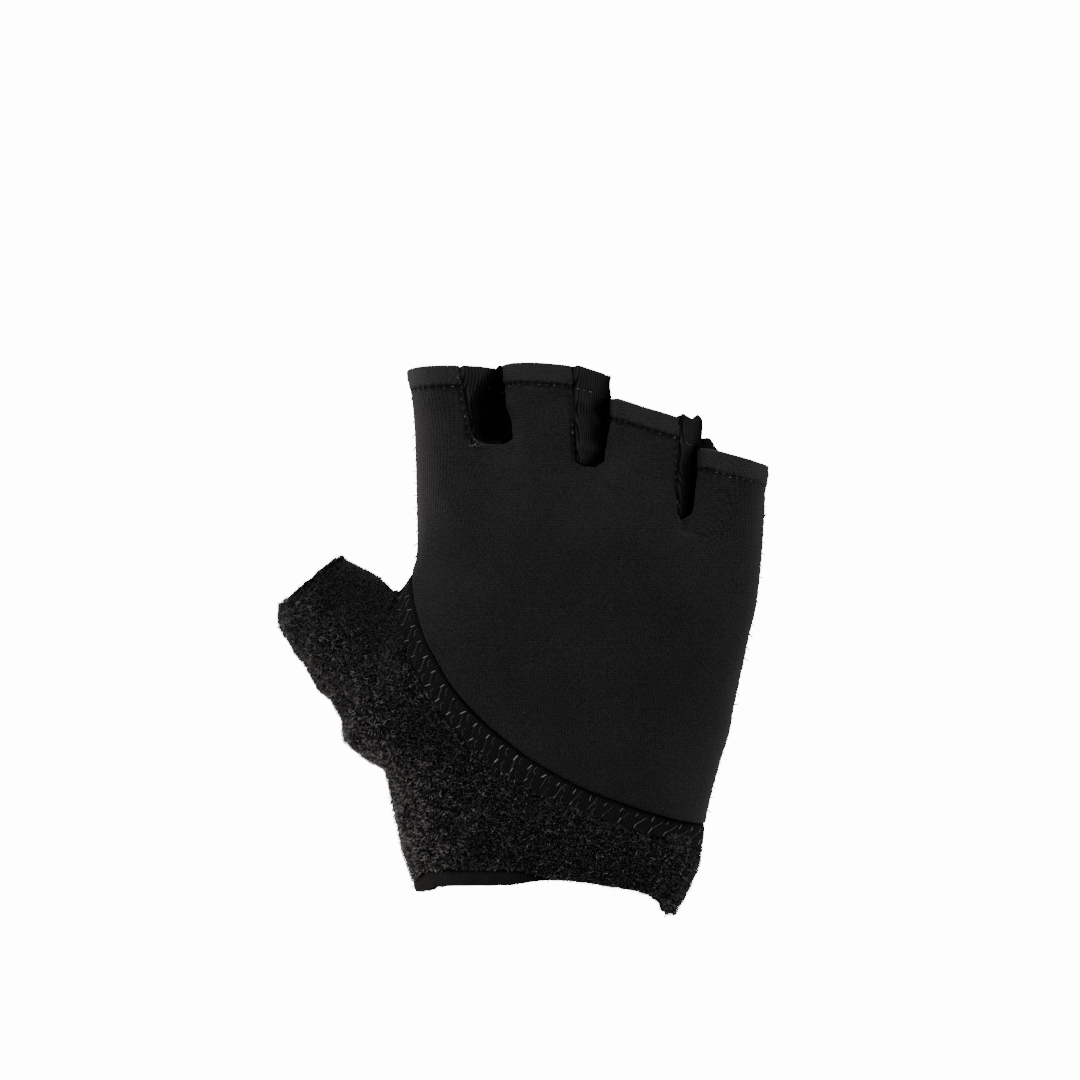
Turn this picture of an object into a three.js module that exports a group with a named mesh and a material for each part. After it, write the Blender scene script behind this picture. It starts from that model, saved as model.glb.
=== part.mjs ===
// Pilates grip glove for the right hand: fingerless, smooth knit back and palm, pile thumb sleeve and cuff.
// Millimetres, +Z along the fingers, the back of the hand faces -Y, the thumb lies towards -X.
// The origin is the middle of the wrist opening.
import * as THREE from "three";

// Cloth sizes
const KNIT_WALL = 1.6;
const GUSSET_WALL = 1.2;
const BAND_WALL = 1.3;
const PILE_WALL = 2.4;
const BINDING_WALL = 1.8;
const HOOK_WALL = 0.9;
const SEAM_GAP = 0.3;
const HEM_DEPTH = 5;
const HEM_PROUD = 0.45;
const BAND_SUNK = -0.25;
const PILE_PROUD = 0.6;
const BINDING_PROUD = 0.2;

// Colours from the photograph: near-black cloths of slightly different depth
const KNIT_BLACK = 0x191919;
const GUSSET_BLACK = 0x141414;
const PILE_BLACK = 0x171615;
const BAND_BLACK = 0x131313;
const HOOK_BLACK = 0x101010;

// The hand form up the arm and palm: where its thumb-side and little-finger-side outlines lie,
// how far its back and palm stand from the middle plane, and how square its section is.
const FORM = [
  { z: -8, left: -27.0, right: 28.4, back: 17.6, palm: 18.6, square: 2.3 },
  { z: 0, left: -28.4, right: 30.9, back: 17.8, palm: 19.0, square: 2.3 },
  { z: 8, left: -31.2, right: 33.6, back: 18.0, palm: 20.0, square: 2.35 },
  { z: 16, left: -33.9, right: 34.5, back: 18.0, palm: 21.2, square: 2.4 },
  { z: 24, left: -36.4, right: 36.5, back: 17.8, palm: 22.2, square: 2.4 },
  { z: 29, left: -40.0, right: 38.0, back: 17.6, palm: 22.8, square: 2.4 },
  { z: 33, left: -45.0, right: 39.2, back: 17.4, palm: 23.2, square: 2.4 },
  { z: 37, left: -46.8, right: 40.2, back: 17.2, palm: 23.4, square: 2.4 },
  { z: 43, left: -47.4, right: 41.5, back: 17.0, palm: 23.2, square: 2.4 },
  { z: 50, left: -45.6, right: 43.0, back: 16.8, palm: 22.4, square: 2.4 },
  { z: 57, left: -42.8, right: 44.4, back: 16.6, palm: 21.2, square: 2.4 },
  { z: 64, left: -39.2, right: 46.2, back: 16.4, palm: 19.8, square: 2.4 },
  { z: 69, left: -34.8, right: 46.9, back: 16.2, palm: 18.8, square: 2.4 },
  { z: 73, left: -31.3, right: 47.2, back: 16.0, palm: 18.0, square: 2.4 },
  { z: 77, left: -30.3, right: 47.5, back: 15.7, palm: 17.2, square: 2.4 },
  { z: 86, left: -30.4, right: 48.2, back: 14.8, palm: 15.2, square: 2.4 },
  { z: 96, left: -30.7, right: 48.5, back: 13.2, palm: 13.4, square: 2.4 },
  { z: 108, left: -31.0, right: 49.0, back: 12.0, palm: 12.0, square: 2.4 },
  { z: 122, left: -32.0, right: 49.4, back: 11.5, palm: 11.5, square: 2.4 },
];

// The hollow of the open palm
const PALM_HOLLOW = { depth: 3.2, x: 3, z: 54, spreadX: 15, spreadZ: 19 };

// The finger tubes, measured at their mouth and at the webs. Seam angles run round each tube from
// its thumb side (0) over the back (90) to its little-finger side (180), and likewise over the palm.
const FINGERS = [
  {
    name: "index", mouthX: -21.7, webX: -20.4, mouthHalf: 10.2, webHalf: 9.8, deep: 10.0, mid: 0.4,
    rimLeft: 117.4, rimRight: 117.4, rimRise: 1.0,
    backFrom: [-4, -4.6], backTo: [96, 106], palmFrom: [6, 5.8], palmTo: [150, 140],
  },
  {
    name: "middle", mouthX: 1.2, webX: 1.3, mouthHalf: 11.4, webHalf: 11.3, deep: 10.6, mid: 0.2,
    rimLeft: 118.4, rimRight: 116.0, rimRise: 1.6,
    backFrom: [6, 27], backTo: [107, 112], palmFrom: [60, 50], palmTo: [150, 140],
  },
  {
    name: "ring", mouthX: 23.5, webX: 22.9, mouthHalf: 9.9, webHalf: 10.0, deep: 10.0, mid: 0.4,
    rimLeft: 111.2, rimRight: 104.8, rimRise: 0.4,
    backFrom: [6, 24], backTo: [121, 122], palmFrom: [60, 50], palmTo: [150, 140],
  },
  {
    name: "little", mouthX: 41.7, webX: 40.7, mouthHalf: 7.6, webHalf: 7.5, deep: 8.8, mid: 0.8,
    rimLeft: 100.0, rimRight: 95.9, rimRise: 0.4,
    backFrom: [6, 24], backTo: [182, 182.6], palmFrom: [60, 50], palmTo: [176, 176.2],
  },
];
const TUBE_SQUARE = 2.15;
const MOUTH_Z = 117;
const WEBS = [100.8, 95.6, 83.9];
const WEB_ROUND = 1.3;
const TUBE_STARTS_BELOW_WEB = 20;
const TUBE_WHOLE_ABOVE_WEB = 16;
const SLOT_DIP = 0.6;
const SLOT_SHARES = [0.25, 0.75];

// The seam between the back panel and the band, and the seam between the band and the pile,
// seen from the back, from the thumb crotch down to the little-finger side.
const BAND_TOP = [
  { x: -31.4, z: 72.4 },
  { x: -30.6, z: 65.5 },
  { x: -27.6, z: 56.4 },
  { x: -21.2, z: 45.7 },
  { x: -11.3, z: 35.8 },
  { x: 3.6, z: 25.9 },
  { x: 18.5, z: 20.0 },
  { x: 34.2, z: 15.4 },
];
const BAND_FOOT = [
  { x: -34.0, z: 69.4 },
  { x: -34.8, z: 63.6 },
  { x: -33.0, z: 55.6 },
  { x: -27.2, z: 44.2 },
  { x: -16.4, z: 31.8 },
  { x: 0.0, z: 21.4 },
  { x: 16.8, z: 15.2 },
  { x: 33.4, z: 10.4 },
];
const BAND_END_ANGLE = 238;

// The seam between the pile and the palm panel: how far round on the palm side it runs at each height
const THENAR_SEAM = [
  { z: 24, angle: 6 },
  { z: 26, angle: 7 },
  { z: 29, angle: 12 },
  { z: 33, angle: 18 },
  { z: 38, angle: 21 },
  { z: 44, angle: 22.5 },
  { z: 50, angle: 21 },
  { z: 57, angle: 16 },
  { z: 63, angle: 10 },
  { z: 70, angle: 6 },
  { z: 78, angle: 6 },
];
const THENAR_COLUMNS = 9;
const THENAR_GAP_DEGREES = 1.4;

// The thumb sleeve from its mouth to the hand. Each section has its outer (low) and inner side as seen
// from the back, its depth and middle plane, how much it has become the hand form, how far along the
// band it ends over the back and at what height it ends on the thenar seam. The first four are closed.
const THUMB = [
  { lowX: -61.7, lowZ: 64.9, inX: -47.2, inZ: 76.5, deep: 10.4, mid: 5.2, hand: 0, along: 0, thenar: 0 },
  { lowX: -59.7, lowZ: 59.6, inX: -42.6, inZ: 74.0, deep: 11.2, mid: 5.0, hand: 0, along: 0, thenar: 0 },
  { lowX: -57.6, lowZ: 54.8, inX: -38.2, inZ: 71.7, deep: 12.0, mid: 4.6, hand: 0.02, along: 0, thenar: 0 },
  { lowX: -55.2, lowZ: 50.6, inX: -33.8, inZ: 69.4, deep: 13.0, mid: 4.0, hand: 0.1, along: 0, thenar: 0 },
  { lowX: -52.6, lowZ: 46.8, inX: -34.5, inZ: 65.8, deep: 14.4, mid: 3.2,
    hand: 0.3, along: 0.07, thenar: 65 },
  { lowX: -50.2, lowZ: 43.8, inX: -35.0, inZ: 62.2, deep: 15.8, mid: 2.2,
    hand: 0.6, along: 0.14, thenar: 60.5 },
  { lowX: -48.2, lowZ: 41.4, inX: -34.6, inZ: 58.6, deep: 17.0, mid: 1.2,
    hand: 0.85, along: 0.21, thenar: 56 },
];
const CROTCH_ROW = 3;
const CROTCH = { x: -33.8, y: 3.4, z: 69.4 };

// The pile below the thumb: the height of each row on the thumb-side outline, how far along the band
// it ends over the back, and the height at which it ends on the thenar seam.
const WEDGE = [
  { low: 39.2, along: 0.28, thenar: 51.5 },
  { low: 37.2, along: 0.36, thenar: 47 },
  { low: 35.2, along: 0.44, thenar: 42.5 },
  { low: 33.0, along: 0.53, thenar: 38 },
  { low: 30.8, along: 0.62, thenar: 34 },
  { low: 28.8, along: 0.71, thenar: 30.2 },
  { low: 26.4, along: 0.8, thenar: 26.4 },
];

// The rest of the pile runs from the side seam right round the little-finger side to its end on the palm.
// The last rows pass the hip of the little-finger side at their own height, then climb to the band's foot.
const SIDE_SEAM = 3;
const HIP_ANGLE = 165;
const WRAP_ANGLE = 240;
const CUFF = [
  { low: 23.8, along: 0.9 },
  { low: 21.6, along: 1 },
  { low: 19.2, hip: 9.0, angle: 196, top: 10.1 },
  { low: 17.0, hip: 7.8, angle: 216, top: 10.1 },
  { low: 14.6, hip: 6.4, angle: WRAP_ANGLE, top: 10.1 },
];
const CUFF_ROWS = 4;

// The wrist edge: its height round the wrist, and how deep the binding shows under the pile
const WRIST_EDGE = [
  { angle: -160, z: -2.8, binding: 0 },
  { angle: -120, z: 0.2, binding: 0 },
  { angle: -90, z: 1.8, binding: 0 },
  { angle: -60, z: 2.0, binding: 0 },
  { angle: -30, z: 1.0, binding: 3.2 },
  { angle: 0, z: 0.2, binding: 3.2 },
  { angle: 25, z: 1.9, binding: 3.2 },
  { angle: 60, z: 2.5, binding: 3.2 },
  { angle: 90, z: 2.9, binding: 2.8 },
  { angle: 112, z: 2.2, binding: 1.4 },
  { angle: 122, z: 1.6, binding: 0 },
  { angle: 135, z: 0.2, binding: 0 },
  { angle: 150, z: -2.0, binding: 0 },
  { angle: 166, z: -4.6, binding: 0 },
  { angle: 190, z: -4.8, binding: 0 },
  { angle: 215, z: -2.2, binding: 0 },
  { angle: 240, z: 0.6, binding: 0 },
];
const BINDING_END = 116;
const BINDING_LEAST = 0.9;
const BINDING_SHOWS = 0.2;

// The strap across the inside of the wrist, from the side seam to its end over the pile. Its ramp lifts
// it over the end of the pile with the hook tab between them.
const STRAP_START = -3.8;
const STRAP_END = -142;
const STRAP_RAMP = { from: -95, to: -115, lift: 3.9 };
const STRAP_TOP = [
  { angle: -184, z: 15.6 },
  { angle: -162, z: 15.6 },
  { angle: -148, z: 15.4 },
  { angle: -120, z: 15.6 },
  { angle: -90, z: 18.4 },
  { angle: -40, z: 23.8 },
  { angle: 0, z: 24.2 },
];
const HOOK = { from: -123, to: -138, inset: 2.5, top: 11 };

// Where the search for a seam starts on a column, and the height at which the palm panel meets the strap
const SEARCH = { high: 80, low: 8, steps: 24 };
const PALM_FOOT_Z = 22;

// Grid fineness
const TAB_COLUMNS = 5;
const PANEL_ROWS = 11;
const TAB_ROWS = [0, 0.34, 0.68];
const GUSSET_COLUMNS = 6;
const GUSSET_EDGE_DEGREES = 4;
const GUSSET_EDGE_SHARE = 0.25;
const BAND_STEPS = 23;
const BAND_ROUND_STEPS = 7;
const PILE_COLUMNS = 20;
const PILE_END_PULL = 4;
const BINDING_STEPS = 22;
const STRAP_STEPS = 22;
const STRAP_LEVELS = 4;
const HOOK_STEPS = 5;

const rad = THREE.MathUtils.degToRad;
const mix = THREE.MathUtils.lerp;
const clamp = THREE.MathUtils.clamp;
const smooth = THREE.MathUtils.smoothstep;

// A table's named columns at a place between its rows, on a smooth curve through them.
function readTable(table, key, at) {
  const last = table.length - 1;
  let i = 0;
  while (i < last - 1 && at > table[i + 1][key]) i += 1;
  const rows = [table[Math.max(i - 1, 0)], table[i], table[i + 1], table[Math.min(i + 2, last)]];
  const t = clamp((at - rows[1][key]) / (rows[2][key] - rows[1][key]), 0, 1);
  return cubicRow(rows, t);
}

function cubicRow(rows, t) {
  const out = {};
  for (const column of Object.keys(rows[1])) {
    const [p, q, r, s] = rows.map((row) => row[column]);
    const slopeQ = (r - p) / 2;
    const slopeR = (s - q) / 2;
    const bend = 3 * (r - q) - 2 * slopeQ - slopeR;
    const twist = 2 * (q - r) + slopeQ + slopeR;
    out[column] = q + slopeQ * t + bend * t * t + twist * t * t * t;
  }
  return out;
}

// A point on a table's curve, with t from 0 at its first row to 1 at its last.
function alongTable(table, t) {
  const last = table.length - 1;
  const i = Math.min(Math.floor(t * last), last - 1);
  const rows = [table[Math.max(i - 1, 0)], table[i], table[i + 1], table[Math.min(i + 2, last)]];
  return cubicRow(rows, t * last - i);
}

const signedPower = (value, power) => Math.sign(value) * Math.abs(value) ** power;

// A point of the hand form at an angle round it (0 thumb side, 90 back, 180 little-finger side, -90 palm),
// grown by a distance off its surface.
function formPoint(angle, z, grow) {
  const row = readTable(FORM, "z", z);
  const across = signedPower(Math.cos(rad(angle)), 2 / row.square);
  const deep = signedPower(Math.sin(rad(angle)), 2 / row.square);
  const x = (row.left + row.right) / 2 - ((row.right - row.left) / 2 + grow) * across;
  if (deep >= 0) return new THREE.Vector3(x, -(row.back + grow) * deep, z);
  const inX = (x - PALM_HOLLOW.x) / PALM_HOLLOW.spreadX;
  const inZ = (z - PALM_HOLLOW.z) / PALM_HOLLOW.spreadZ;
  const hollow = PALM_HOLLOW.depth * Math.exp(-inX * inX - inZ * inZ);
  return new THREE.Vector3(x, -(row.palm + grow - hollow) * deep, z);
}

// The angle round the form at which it has a given x.
function formAngle(x, z, palmar = false) {
  const row = readTable(FORM, "z", z);
  const share = clamp(((row.left + row.right) / 2 - x) / ((row.right - row.left) / 2), -1, 1);
  const angle = THREE.MathUtils.radToDeg(Math.acos(signedPower(share, row.square / 2)));
  return palmar ? -angle : angle;
}

// How far up a finger tube a height lies, from its lower web (0) to its mouth (1).
const mouthShare = (finger, z) => {
  const i = FINGERS.indexOf(finger);
  const web = Math.min(WEBS[Math.max(i - 1, 0)], WEBS[Math.min(i, 2)]);
  const mouth = Math.max(finger.rimLeft, finger.rimRight);
  return clamp((z - web) / (mouth - web), 0, 1);
};

// A point of a finger tube at an angle round it.
function tubePoint(finger, angle, z, grow) {
  const share = mouthShare(finger, z);
  const half = mix(finger.webHalf, finger.mouthHalf, share) + grow;
  const x = mix(finger.webX, finger.mouthX, share);
  const across = signedPower(Math.cos(rad(angle)), 2 / TUBE_SQUARE);
  const deep = signedPower(Math.sin(rad(angle)), 2 / TUBE_SQUARE);
  return new THREE.Vector3(x - half * across, finger.mid - (finger.deep + grow) * deep, z);
}

// The height of a tube's rim at an angle round it.
function rimHeight(finger, angle) {
  const across = (1 - Math.cos(rad(angle))) / 2;
  return mix(finger.rimLeft, finger.rimRight, across) + finger.rimRise * Math.abs(Math.sin(rad(angle)));
}

// The web height beside a finger, from its thumb side (0) to its little-finger side (1).
function webBeside(finger, share) {
  const i = FINGERS.indexOf(finger);
  return mix(WEBS[Math.max(i - 1, 0)], WEBS[Math.min(i, 2)], smooth(share, 0, 1));
}

// A seam's angle round its tube, from its pair of angles at the mouth and at the web.
const seamAngle = (pair, finger, z) => mix(pair[1], pair[0], mouthShare(finger, z));

// A point of the back or palm on a finger, passing from the hand form below the web to the tube above it.
// side is 1 over the back and -1 over the palm, and shift moves it round the hand form.
function fingerSurface(finger, side, angle, z, grow, { atSide = false, shift = 0 } = {}) {
  const share = clamp((1 - Math.cos(rad(angle))) / 2, 0, 1);
  const web = webBeside(finger, share);
  const level = tubePoint(finger, side * angle, web, 0).x;
  const round = atSide ? side * angle : formAngle(level, web, side < 0);
  const form = formPoint(round + shift, z, grow);
  const tube = tubePoint(finger, side * angle, z, grow);
  return form.lerp(tube, smooth(z, web - TUBE_STARTS_BELOW_WEB, web + TUBE_WHOLE_ABOVE_WEB));
}

// A point between two fingers on one side of the hand, from the edge of one tab (0) to that of the next (1).
function slotPoint(i, side, share, z, grow, inset = 0) {
  const [before, after] = [FINGERS[i], FINGERS[i + 1]];
  const to = seamAngle(side > 0 ? before.backTo : before.palmTo, before, z) + inset;
  const from = seamAngle(side > 0 ? after.backFrom : after.palmFrom, after, z) - inset;
  const left = fingerSurface(before, side, to, z, grow);
  const right = fingerSurface(after, side, from, z, grow);
  const p = left.lerp(right, share);
  const dip = SLOT_DIP * smooth(z, WEBS[i] - TUBE_STARTS_BELOW_WEB, WEBS[i]);
  p.y += side * dip * 4 * share * (1 - share);
  return p;
}

// The columns of the back (side 1) or palm (side -1): each knows its points at any height,
// and where the panel's web line and rim lie on it.
function panelColumns(side) {
  const columns = [];
  const from = side > 0 ? "backFrom" : "palmFrom";
  const to = side > 0 ? "backTo" : "palmTo";
  const thenarShift = (z, place) => {
    if (side > 0) return 0;
    const bend = readTable(THENAR_SEAM, "z", z).angle - THENAR_SEAM.at(-1).angle;
    return -bend * Math.max(0, 1 - place / THENAR_COLUMNS);
  };
  FINGERS.forEach((finger, i) => {
    for (let c = 0; c <= TAB_COLUMNS; c += 1) {
      const share = c / TAB_COLUMNS;
      const place = columns.length;
      const angleAt = (z) => mix(seamAngle(finger[from], finger, z), seamAngle(finger[to], finger, z), share);
      const atSide = (c === 0 && i === 0) || (c === TAB_COLUMNS && i === 3);
      const slotEdge = !atSide && (c === 0 || c === TAB_COLUMNS);
      const beside = (1 - Math.cos(rad(angleAt(0)))) / 2;
      columns.push({
        tab: true,
        point: (z, grow) =>
          fingerSurface(finger, side, angleAt(z), z, grow, { atSide, shift: thenarShift(z, place) }),
        web: slotEdge ? WEBS[c === 0 ? i - 1 : i] + WEB_ROUND : webBeside(finger, beside) + WEB_ROUND / 2,
        rim: rimHeight(finger, side * angleAt(MOUTH_Z)),
      });
    }
    if (i === 3) return;
    for (const share of SLOT_SHARES) {
      columns.push({ tab: false, point: (z, grow) => slotPoint(i, side, share, z, grow), web: WEBS[i] });
    }
  });
  return columns;
}

// A height where a column crosses a seam given as a table from high to low.
function crossing(column, seam) {
  let { high, low } = SEARCH;
  const seamX = (z) => {
    let [near, far] = [0, 1];
    for (let step = 0; step < SEARCH.steps; step += 1) {
      const middle = (near + far) / 2;
      if (alongTable(seam, middle).z > z) near = middle;
      else far = middle;
    }
    return alongTable(seam, (near + far) / 2).x;
  };
  for (let step = 0; step < SEARCH.steps; step += 1) {
    const middle = (high + low) / 2;
    if (column.point(middle, 0).x > seamX(middle)) high = middle;
    else low = middle;
  }
  return (high + low) / 2;
}

// A sheet under construction: points as functions of the growth off the surface, and quads that face out.
class Sheet {
  constructor(outer, wall) {
    this.outer = outer;
    this.wall = wall;
    this.points = [];
    this.quads = [];
  }

  add(point, proud = 0) {
    this.points.push({ out: point(this.outer + proud), in: point(this.outer - this.wall) });
    return this.points.length - 1;
  }

  // Joins a grid of point numbers, rows by columns; a null leaves a hole.
  fill(grid, flip = false) {
    for (let r = 0; r + 1 < grid.length; r += 1) {
      for (let c = 0; c + 1 < grid[r].length; c += 1) {
        const quad = [grid[r][c], grid[r][c + 1], grid[r + 1][c + 1], grid[r + 1][c]];
        if (quad.some((n) => n === null || n === undefined)) continue;
        this.quads.push(flip ? quad.reverse() : quad);
      }
    }
  }

  // The closed solid: outer quads, inner quads turned round, and a rim along every open edge.
  geometry() {
    const count = this.points.length;
    const triangles = [];
    const face = (a, b, c, d) => triangles.push([a, b, c], [a, c, d]);
    const edges = new Map();
    for (const quad of this.quads) {
      face(...quad);
      face(...quad.map((n) => n + count).reverse());
      quad.forEach((a, i) => edges.set(a + "," + quad[(i + 1) % 4], [a, quad[(i + 1) % 4]]));
    }
    for (const [a, b] of edges.values()) {
      if (!edges.has(b + "," + a)) face(b, a, a + count, b + count);
    }
    const places = [...this.points.map((p) => p.out), ...this.points.map((p) => p.in)];
    const positions = places.flatMap((place) => place.toArray());
    const geometry = new THREE.BufferGeometry();
    geometry.setAttribute("position", new THREE.Float32BufferAttribute(positions, 3));
    geometry.setIndex(triangles.filter(([a, b, c]) => a !== b && b !== c && a !== c).flat());
    geometry.computeVertexNormals();
    return geometry;
  }
}

const glove = new THREE.Group();
glove.name = "pilates_grip_glove";

function addPiece(name, sheet, material) {
  const mesh = new THREE.Mesh(sheet.geometry(), material);
  mesh.name = name;
  glove.add(mesh);
}

const knit = new THREE.MeshStandardMaterial({ color: KNIT_BLACK, roughness: 0.75, metalness: 0 });
const gusset = new THREE.MeshStandardMaterial({ color: GUSSET_BLACK, roughness: 0.8, metalness: 0 });
const pile = new THREE.MeshStandardMaterial({ color: PILE_BLACK, roughness: 1, metalness: 0 });
const ribbed = new THREE.MeshStandardMaterial({ color: BAND_BLACK, roughness: 0.8, metalness: 0 });
const hook = new THREE.MeshStandardMaterial({ color: HOOK_BLACK, roughness: 0.6, metalness: 0 });

// Back and palm panels: rows from the foot seam to the web line, then up each tab to its turned hem.
function panel(side, footAt) {
  const sheet = new Sheet(0, KNIT_WALL);
  const columns = panelColumns(side);
  const grid = [];
  const addRow = (heightOf, tabsOnly, proud) => {
    grid.push(
      columns.map((column, c) => {
        if (tabsOnly && !column.tab) return null;
        return sheet.add((grow) => column.point(heightOf(column, c), grow), proud);
      }),
    );
  };
  const feet = columns.map(footAt);
  for (let r = 0; r <= PANEL_ROWS; r += 1) {
    addRow((column, c) => mix(feet[c], column.web, r / PANEL_ROWS), false, 0);
  }
  for (const share of TAB_ROWS.slice(1)) {
    addRow((column) => mix(column.web, column.rim - HEM_DEPTH, share), true, 0);
  }
  addRow((column) => column.rim - HEM_DEPTH, true, 0);
  addRow((column) => column.rim - HEM_DEPTH + HEM_PROUD, true, HEM_PROUD);
  addRow((column) => column.rim, true, HEM_PROUD);
  sheet.fill(grid, side < 0);
  return sheet;
}

const backFoot = (column) => Math.max(crossing(column, BAND_TOP), BAND_TOP.at(-1).z) + SEAM_GAP;
addPiece("back_panel", panel(1, backFoot), knit);

const strapTop = (angle) => readTable(STRAP_TOP, "angle", angle).z;

// The palm panel stands on the strap, so its foot follows the strap's top edge.
function palmFoot(column) {
  const start = column.point(PALM_FOOT_Z, 0);
  return strapTop(formAngle(start.x, PALM_FOOT_Z, true)) + SEAM_GAP;
}
addPiece("palm_panel", panel(-1, palmFoot), knit);

// The strip between two fingers: down the flank of one, under the web and up the flank of the next.
// Across, it runs from the seam on the back to the seam on the palm.
function fourchette(i) {
  const sheet = new Sheet(0, GUSSET_WALL);
  const inset = GUSSET_EDGE_DEGREES;
  const flank = (finger, share, across, z, grow) => {
    const [back, palm] =
      share === 0
        ? [seamAngle(finger.backTo, finger, z) + inset, 360 - seamAngle(finger.palmTo, finger, z) - inset]
        : [seamAngle(finger.backFrom, finger, z) - inset, inset - seamAngle(finger.palmFrom, finger, z)];
    const p = tubePoint(finger, mix(back, palm, across), z, grow);
    const toBack = slotPoint(i, 1, share, z, grow, inset).sub(tubePoint(finger, back, z, grow));
    const toPalm = slotPoint(i, -1, share, z, grow, inset).sub(tubePoint(finger, palm, z, grow));
    return p.addScaledVector(toBack, 1 - across).addScaledVector(toPalm, across);
  };
  const rimOf = (finger, share, across) => {
    const back = share === 0 ? finger.backTo[0] : finger.backFrom[0];
    const palm = share === 0 ? 360 - finger.palmTo[0] : -finger.palmFrom[0];
    return rimHeight(finger, mix(back, palm, across));
  };
  const acrosses = Array.from({ length: GUSSET_COLUMNS + 1 }, (_, c) => c / GUSSET_COLUMNS);
  const lowest = (across) => WEBS[i] + WEB_ROUND + SEAM_GAP + Math.sin(Math.PI * across);
  const wallRow = (share, heightOf, proud) => {
    const finger = FINGERS[i + share];
    return acrosses.map((across) => {
      const z = heightOf(across, rimOf(finger, share, across));
      return sheet.add((grow) => flank(finger, share, across, z, grow), proud);
    });
  };
  const wall = (share) => [
    wallRow(share, (across, rim) => rim, HEM_PROUD),
    wallRow(share, (across, rim) => rim - HEM_DEPTH + HEM_PROUD, HEM_PROUD),
    wallRow(share, (across, rim) => rim - HEM_DEPTH, 0),
    ...TAB_ROWS.slice(1)
      .reverse()
      .map((rise) => wallRow(share, (across, rim) => mix(lowest(across), rim - HEM_DEPTH, rise), 0)),
    wallRow(share, lowest, 0),
  ];
  const footRow = (share) =>
    acrosses.map((across) =>
      sheet.add((grow) => {
        const level = clamp(Math.min(across, 1 - across) / GUSSET_EDGE_SHARE, 0, 1);
        const z = WEBS[i] + SEAM_GAP + WEB_ROUND * level;
        const p = flank(FINGERS[i], 0, across, z, grow * (1 - level));
        p.lerp(flank(FINGERS[i + 1], 1, across, z, grow * (1 - level)), share);
        p.y += (1 - 2 * across) * (1 - level) * SLOT_DIP;
        p.z = z + grow * level;
        return p;
      }),
    );
  sheet.fill([...wall(0), ...SLOT_SHARES.map(footRow), ...wall(1).reverse()], true);
  return sheet;
}
["index_middle", "middle_ring", "ring_little"].forEach((pair, i) => {
  addPiece("fourchette_" + pair, fourchette(i), gusset);
});

// A point on one of the band's seams, raised by a distance. Past the end of its table (t over 1) the
// seam runs on level round the little-finger side, to its end at t = 2.
function seamPoint(table, t, rise, grow) {
  const row = alongTable(table, Math.min(t, 1));
  const angle = formAngle(row.x, row.z);
  const round = t > 1 ? mix(angle, BAND_END_ANGLE, t - 1) : angle;
  return formPoint(round, row.z + rise, grow);
}

// The ribbed band between the two seams, from the crotch over the back and round the little-finger side.
function seamBand() {
  const sheet = new Sheet(BAND_SUNK, BAND_WALL);
  const grid = [];
  for (let n = 0; n <= BAND_STEPS + BAND_ROUND_STEPS; n += 1) {
    const t = Math.min(n / BAND_STEPS, 1) + Math.max(n - BAND_STEPS, 0) / BAND_ROUND_STEPS;
    const top = (grow) => seamPoint(BAND_TOP, t, -SEAM_GAP, grow);
    const foot = (grow) => seamPoint(BAND_FOOT, t, SEAM_GAP, grow);
    const middle = (grow) => {
      const p = top(grow).lerp(foot(grow), 0.5);
      return formPoint(formAngle(p.x, p.z), p.z, grow).lerp(p, t > 1 ? 1 : 0);
    };
    grid.push([top, middle, foot].map((point) => sheet.add(point)));
  }
  sheet.fill(grid);
  return sheet;
}
addPiece("seam_band", seamBand(), ribbed);

// A section of the thumb sleeve: an oval across the line from its low side to its inner side.
function thumbPoint(row, angle, grow) {
  const low = new THREE.Vector3(row.lowX, 0, row.lowZ);
  const inner = new THREE.Vector3(row.inX, 0, row.inZ);
  const half = low.distanceTo(inner) / 2;
  const along = inner.clone().sub(low).normalize();
  const across = signedPower(Math.cos(rad(angle)), 2 / TUBE_SQUARE);
  const deep = signedPower(Math.sin(rad(angle)), 2 / TUBE_SQUARE);
  const p = low.clone().lerp(inner, 0.5).addScaledVector(along, -(half + grow) * across);
  p.y = row.mid - (row.deep + grow) * deep;
  return p;
}

// The two ends of a row of the pile, at the band and at the thenar seam, and the wrist edge below it.
const thenarAngle = (z) => readTable(THENAR_SEAM, "z", z).angle - THENAR_GAP_DEGREES;
const backEnd = (row, grow) => seamPoint(BAND_FOOT, row.along, -SEAM_GAP, grow);
const palmEnd = (row, grow) => formPoint(-thenarAngle(row.thenar), row.thenar, grow);
const wristEdge = (angle) => readTable(WRIST_EDGE, "angle", angle);

// Each row of the pile is a function of a share from its palm end (0) to its back end (1).
// A row on the hand form leaves the thumb-side outline at its low height and climbs to its two ends.
function handRow({ low, palmAngle, palmZ, backAngle, backZ, hip }) {
  const still = palmAngle / (palmAngle + backAngle);
  return (share, grow) => {
    const overBack = share >= still;
    const angle = mix(-palmAngle, backAngle, share);
    if (hip !== undefined && angle > HIP_ANGLE) {
      return formPoint(angle, mix(hip, backZ, (angle - HIP_ANGLE) / (backAngle - HIP_ANGLE)), grow);
    }
    const end = overBack ? Math.min(backAngle, hip ? HIP_ANGLE : 180) : palmAngle;
    const height = overBack ? (hip ?? backZ) : palmZ;
    const climb = (1 - Math.cos(rad(Math.abs(angle)))) / (1 - Math.cos(rad(end)));
    return formPoint(angle, mix(low, height, climb), grow);
  };
}

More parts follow.
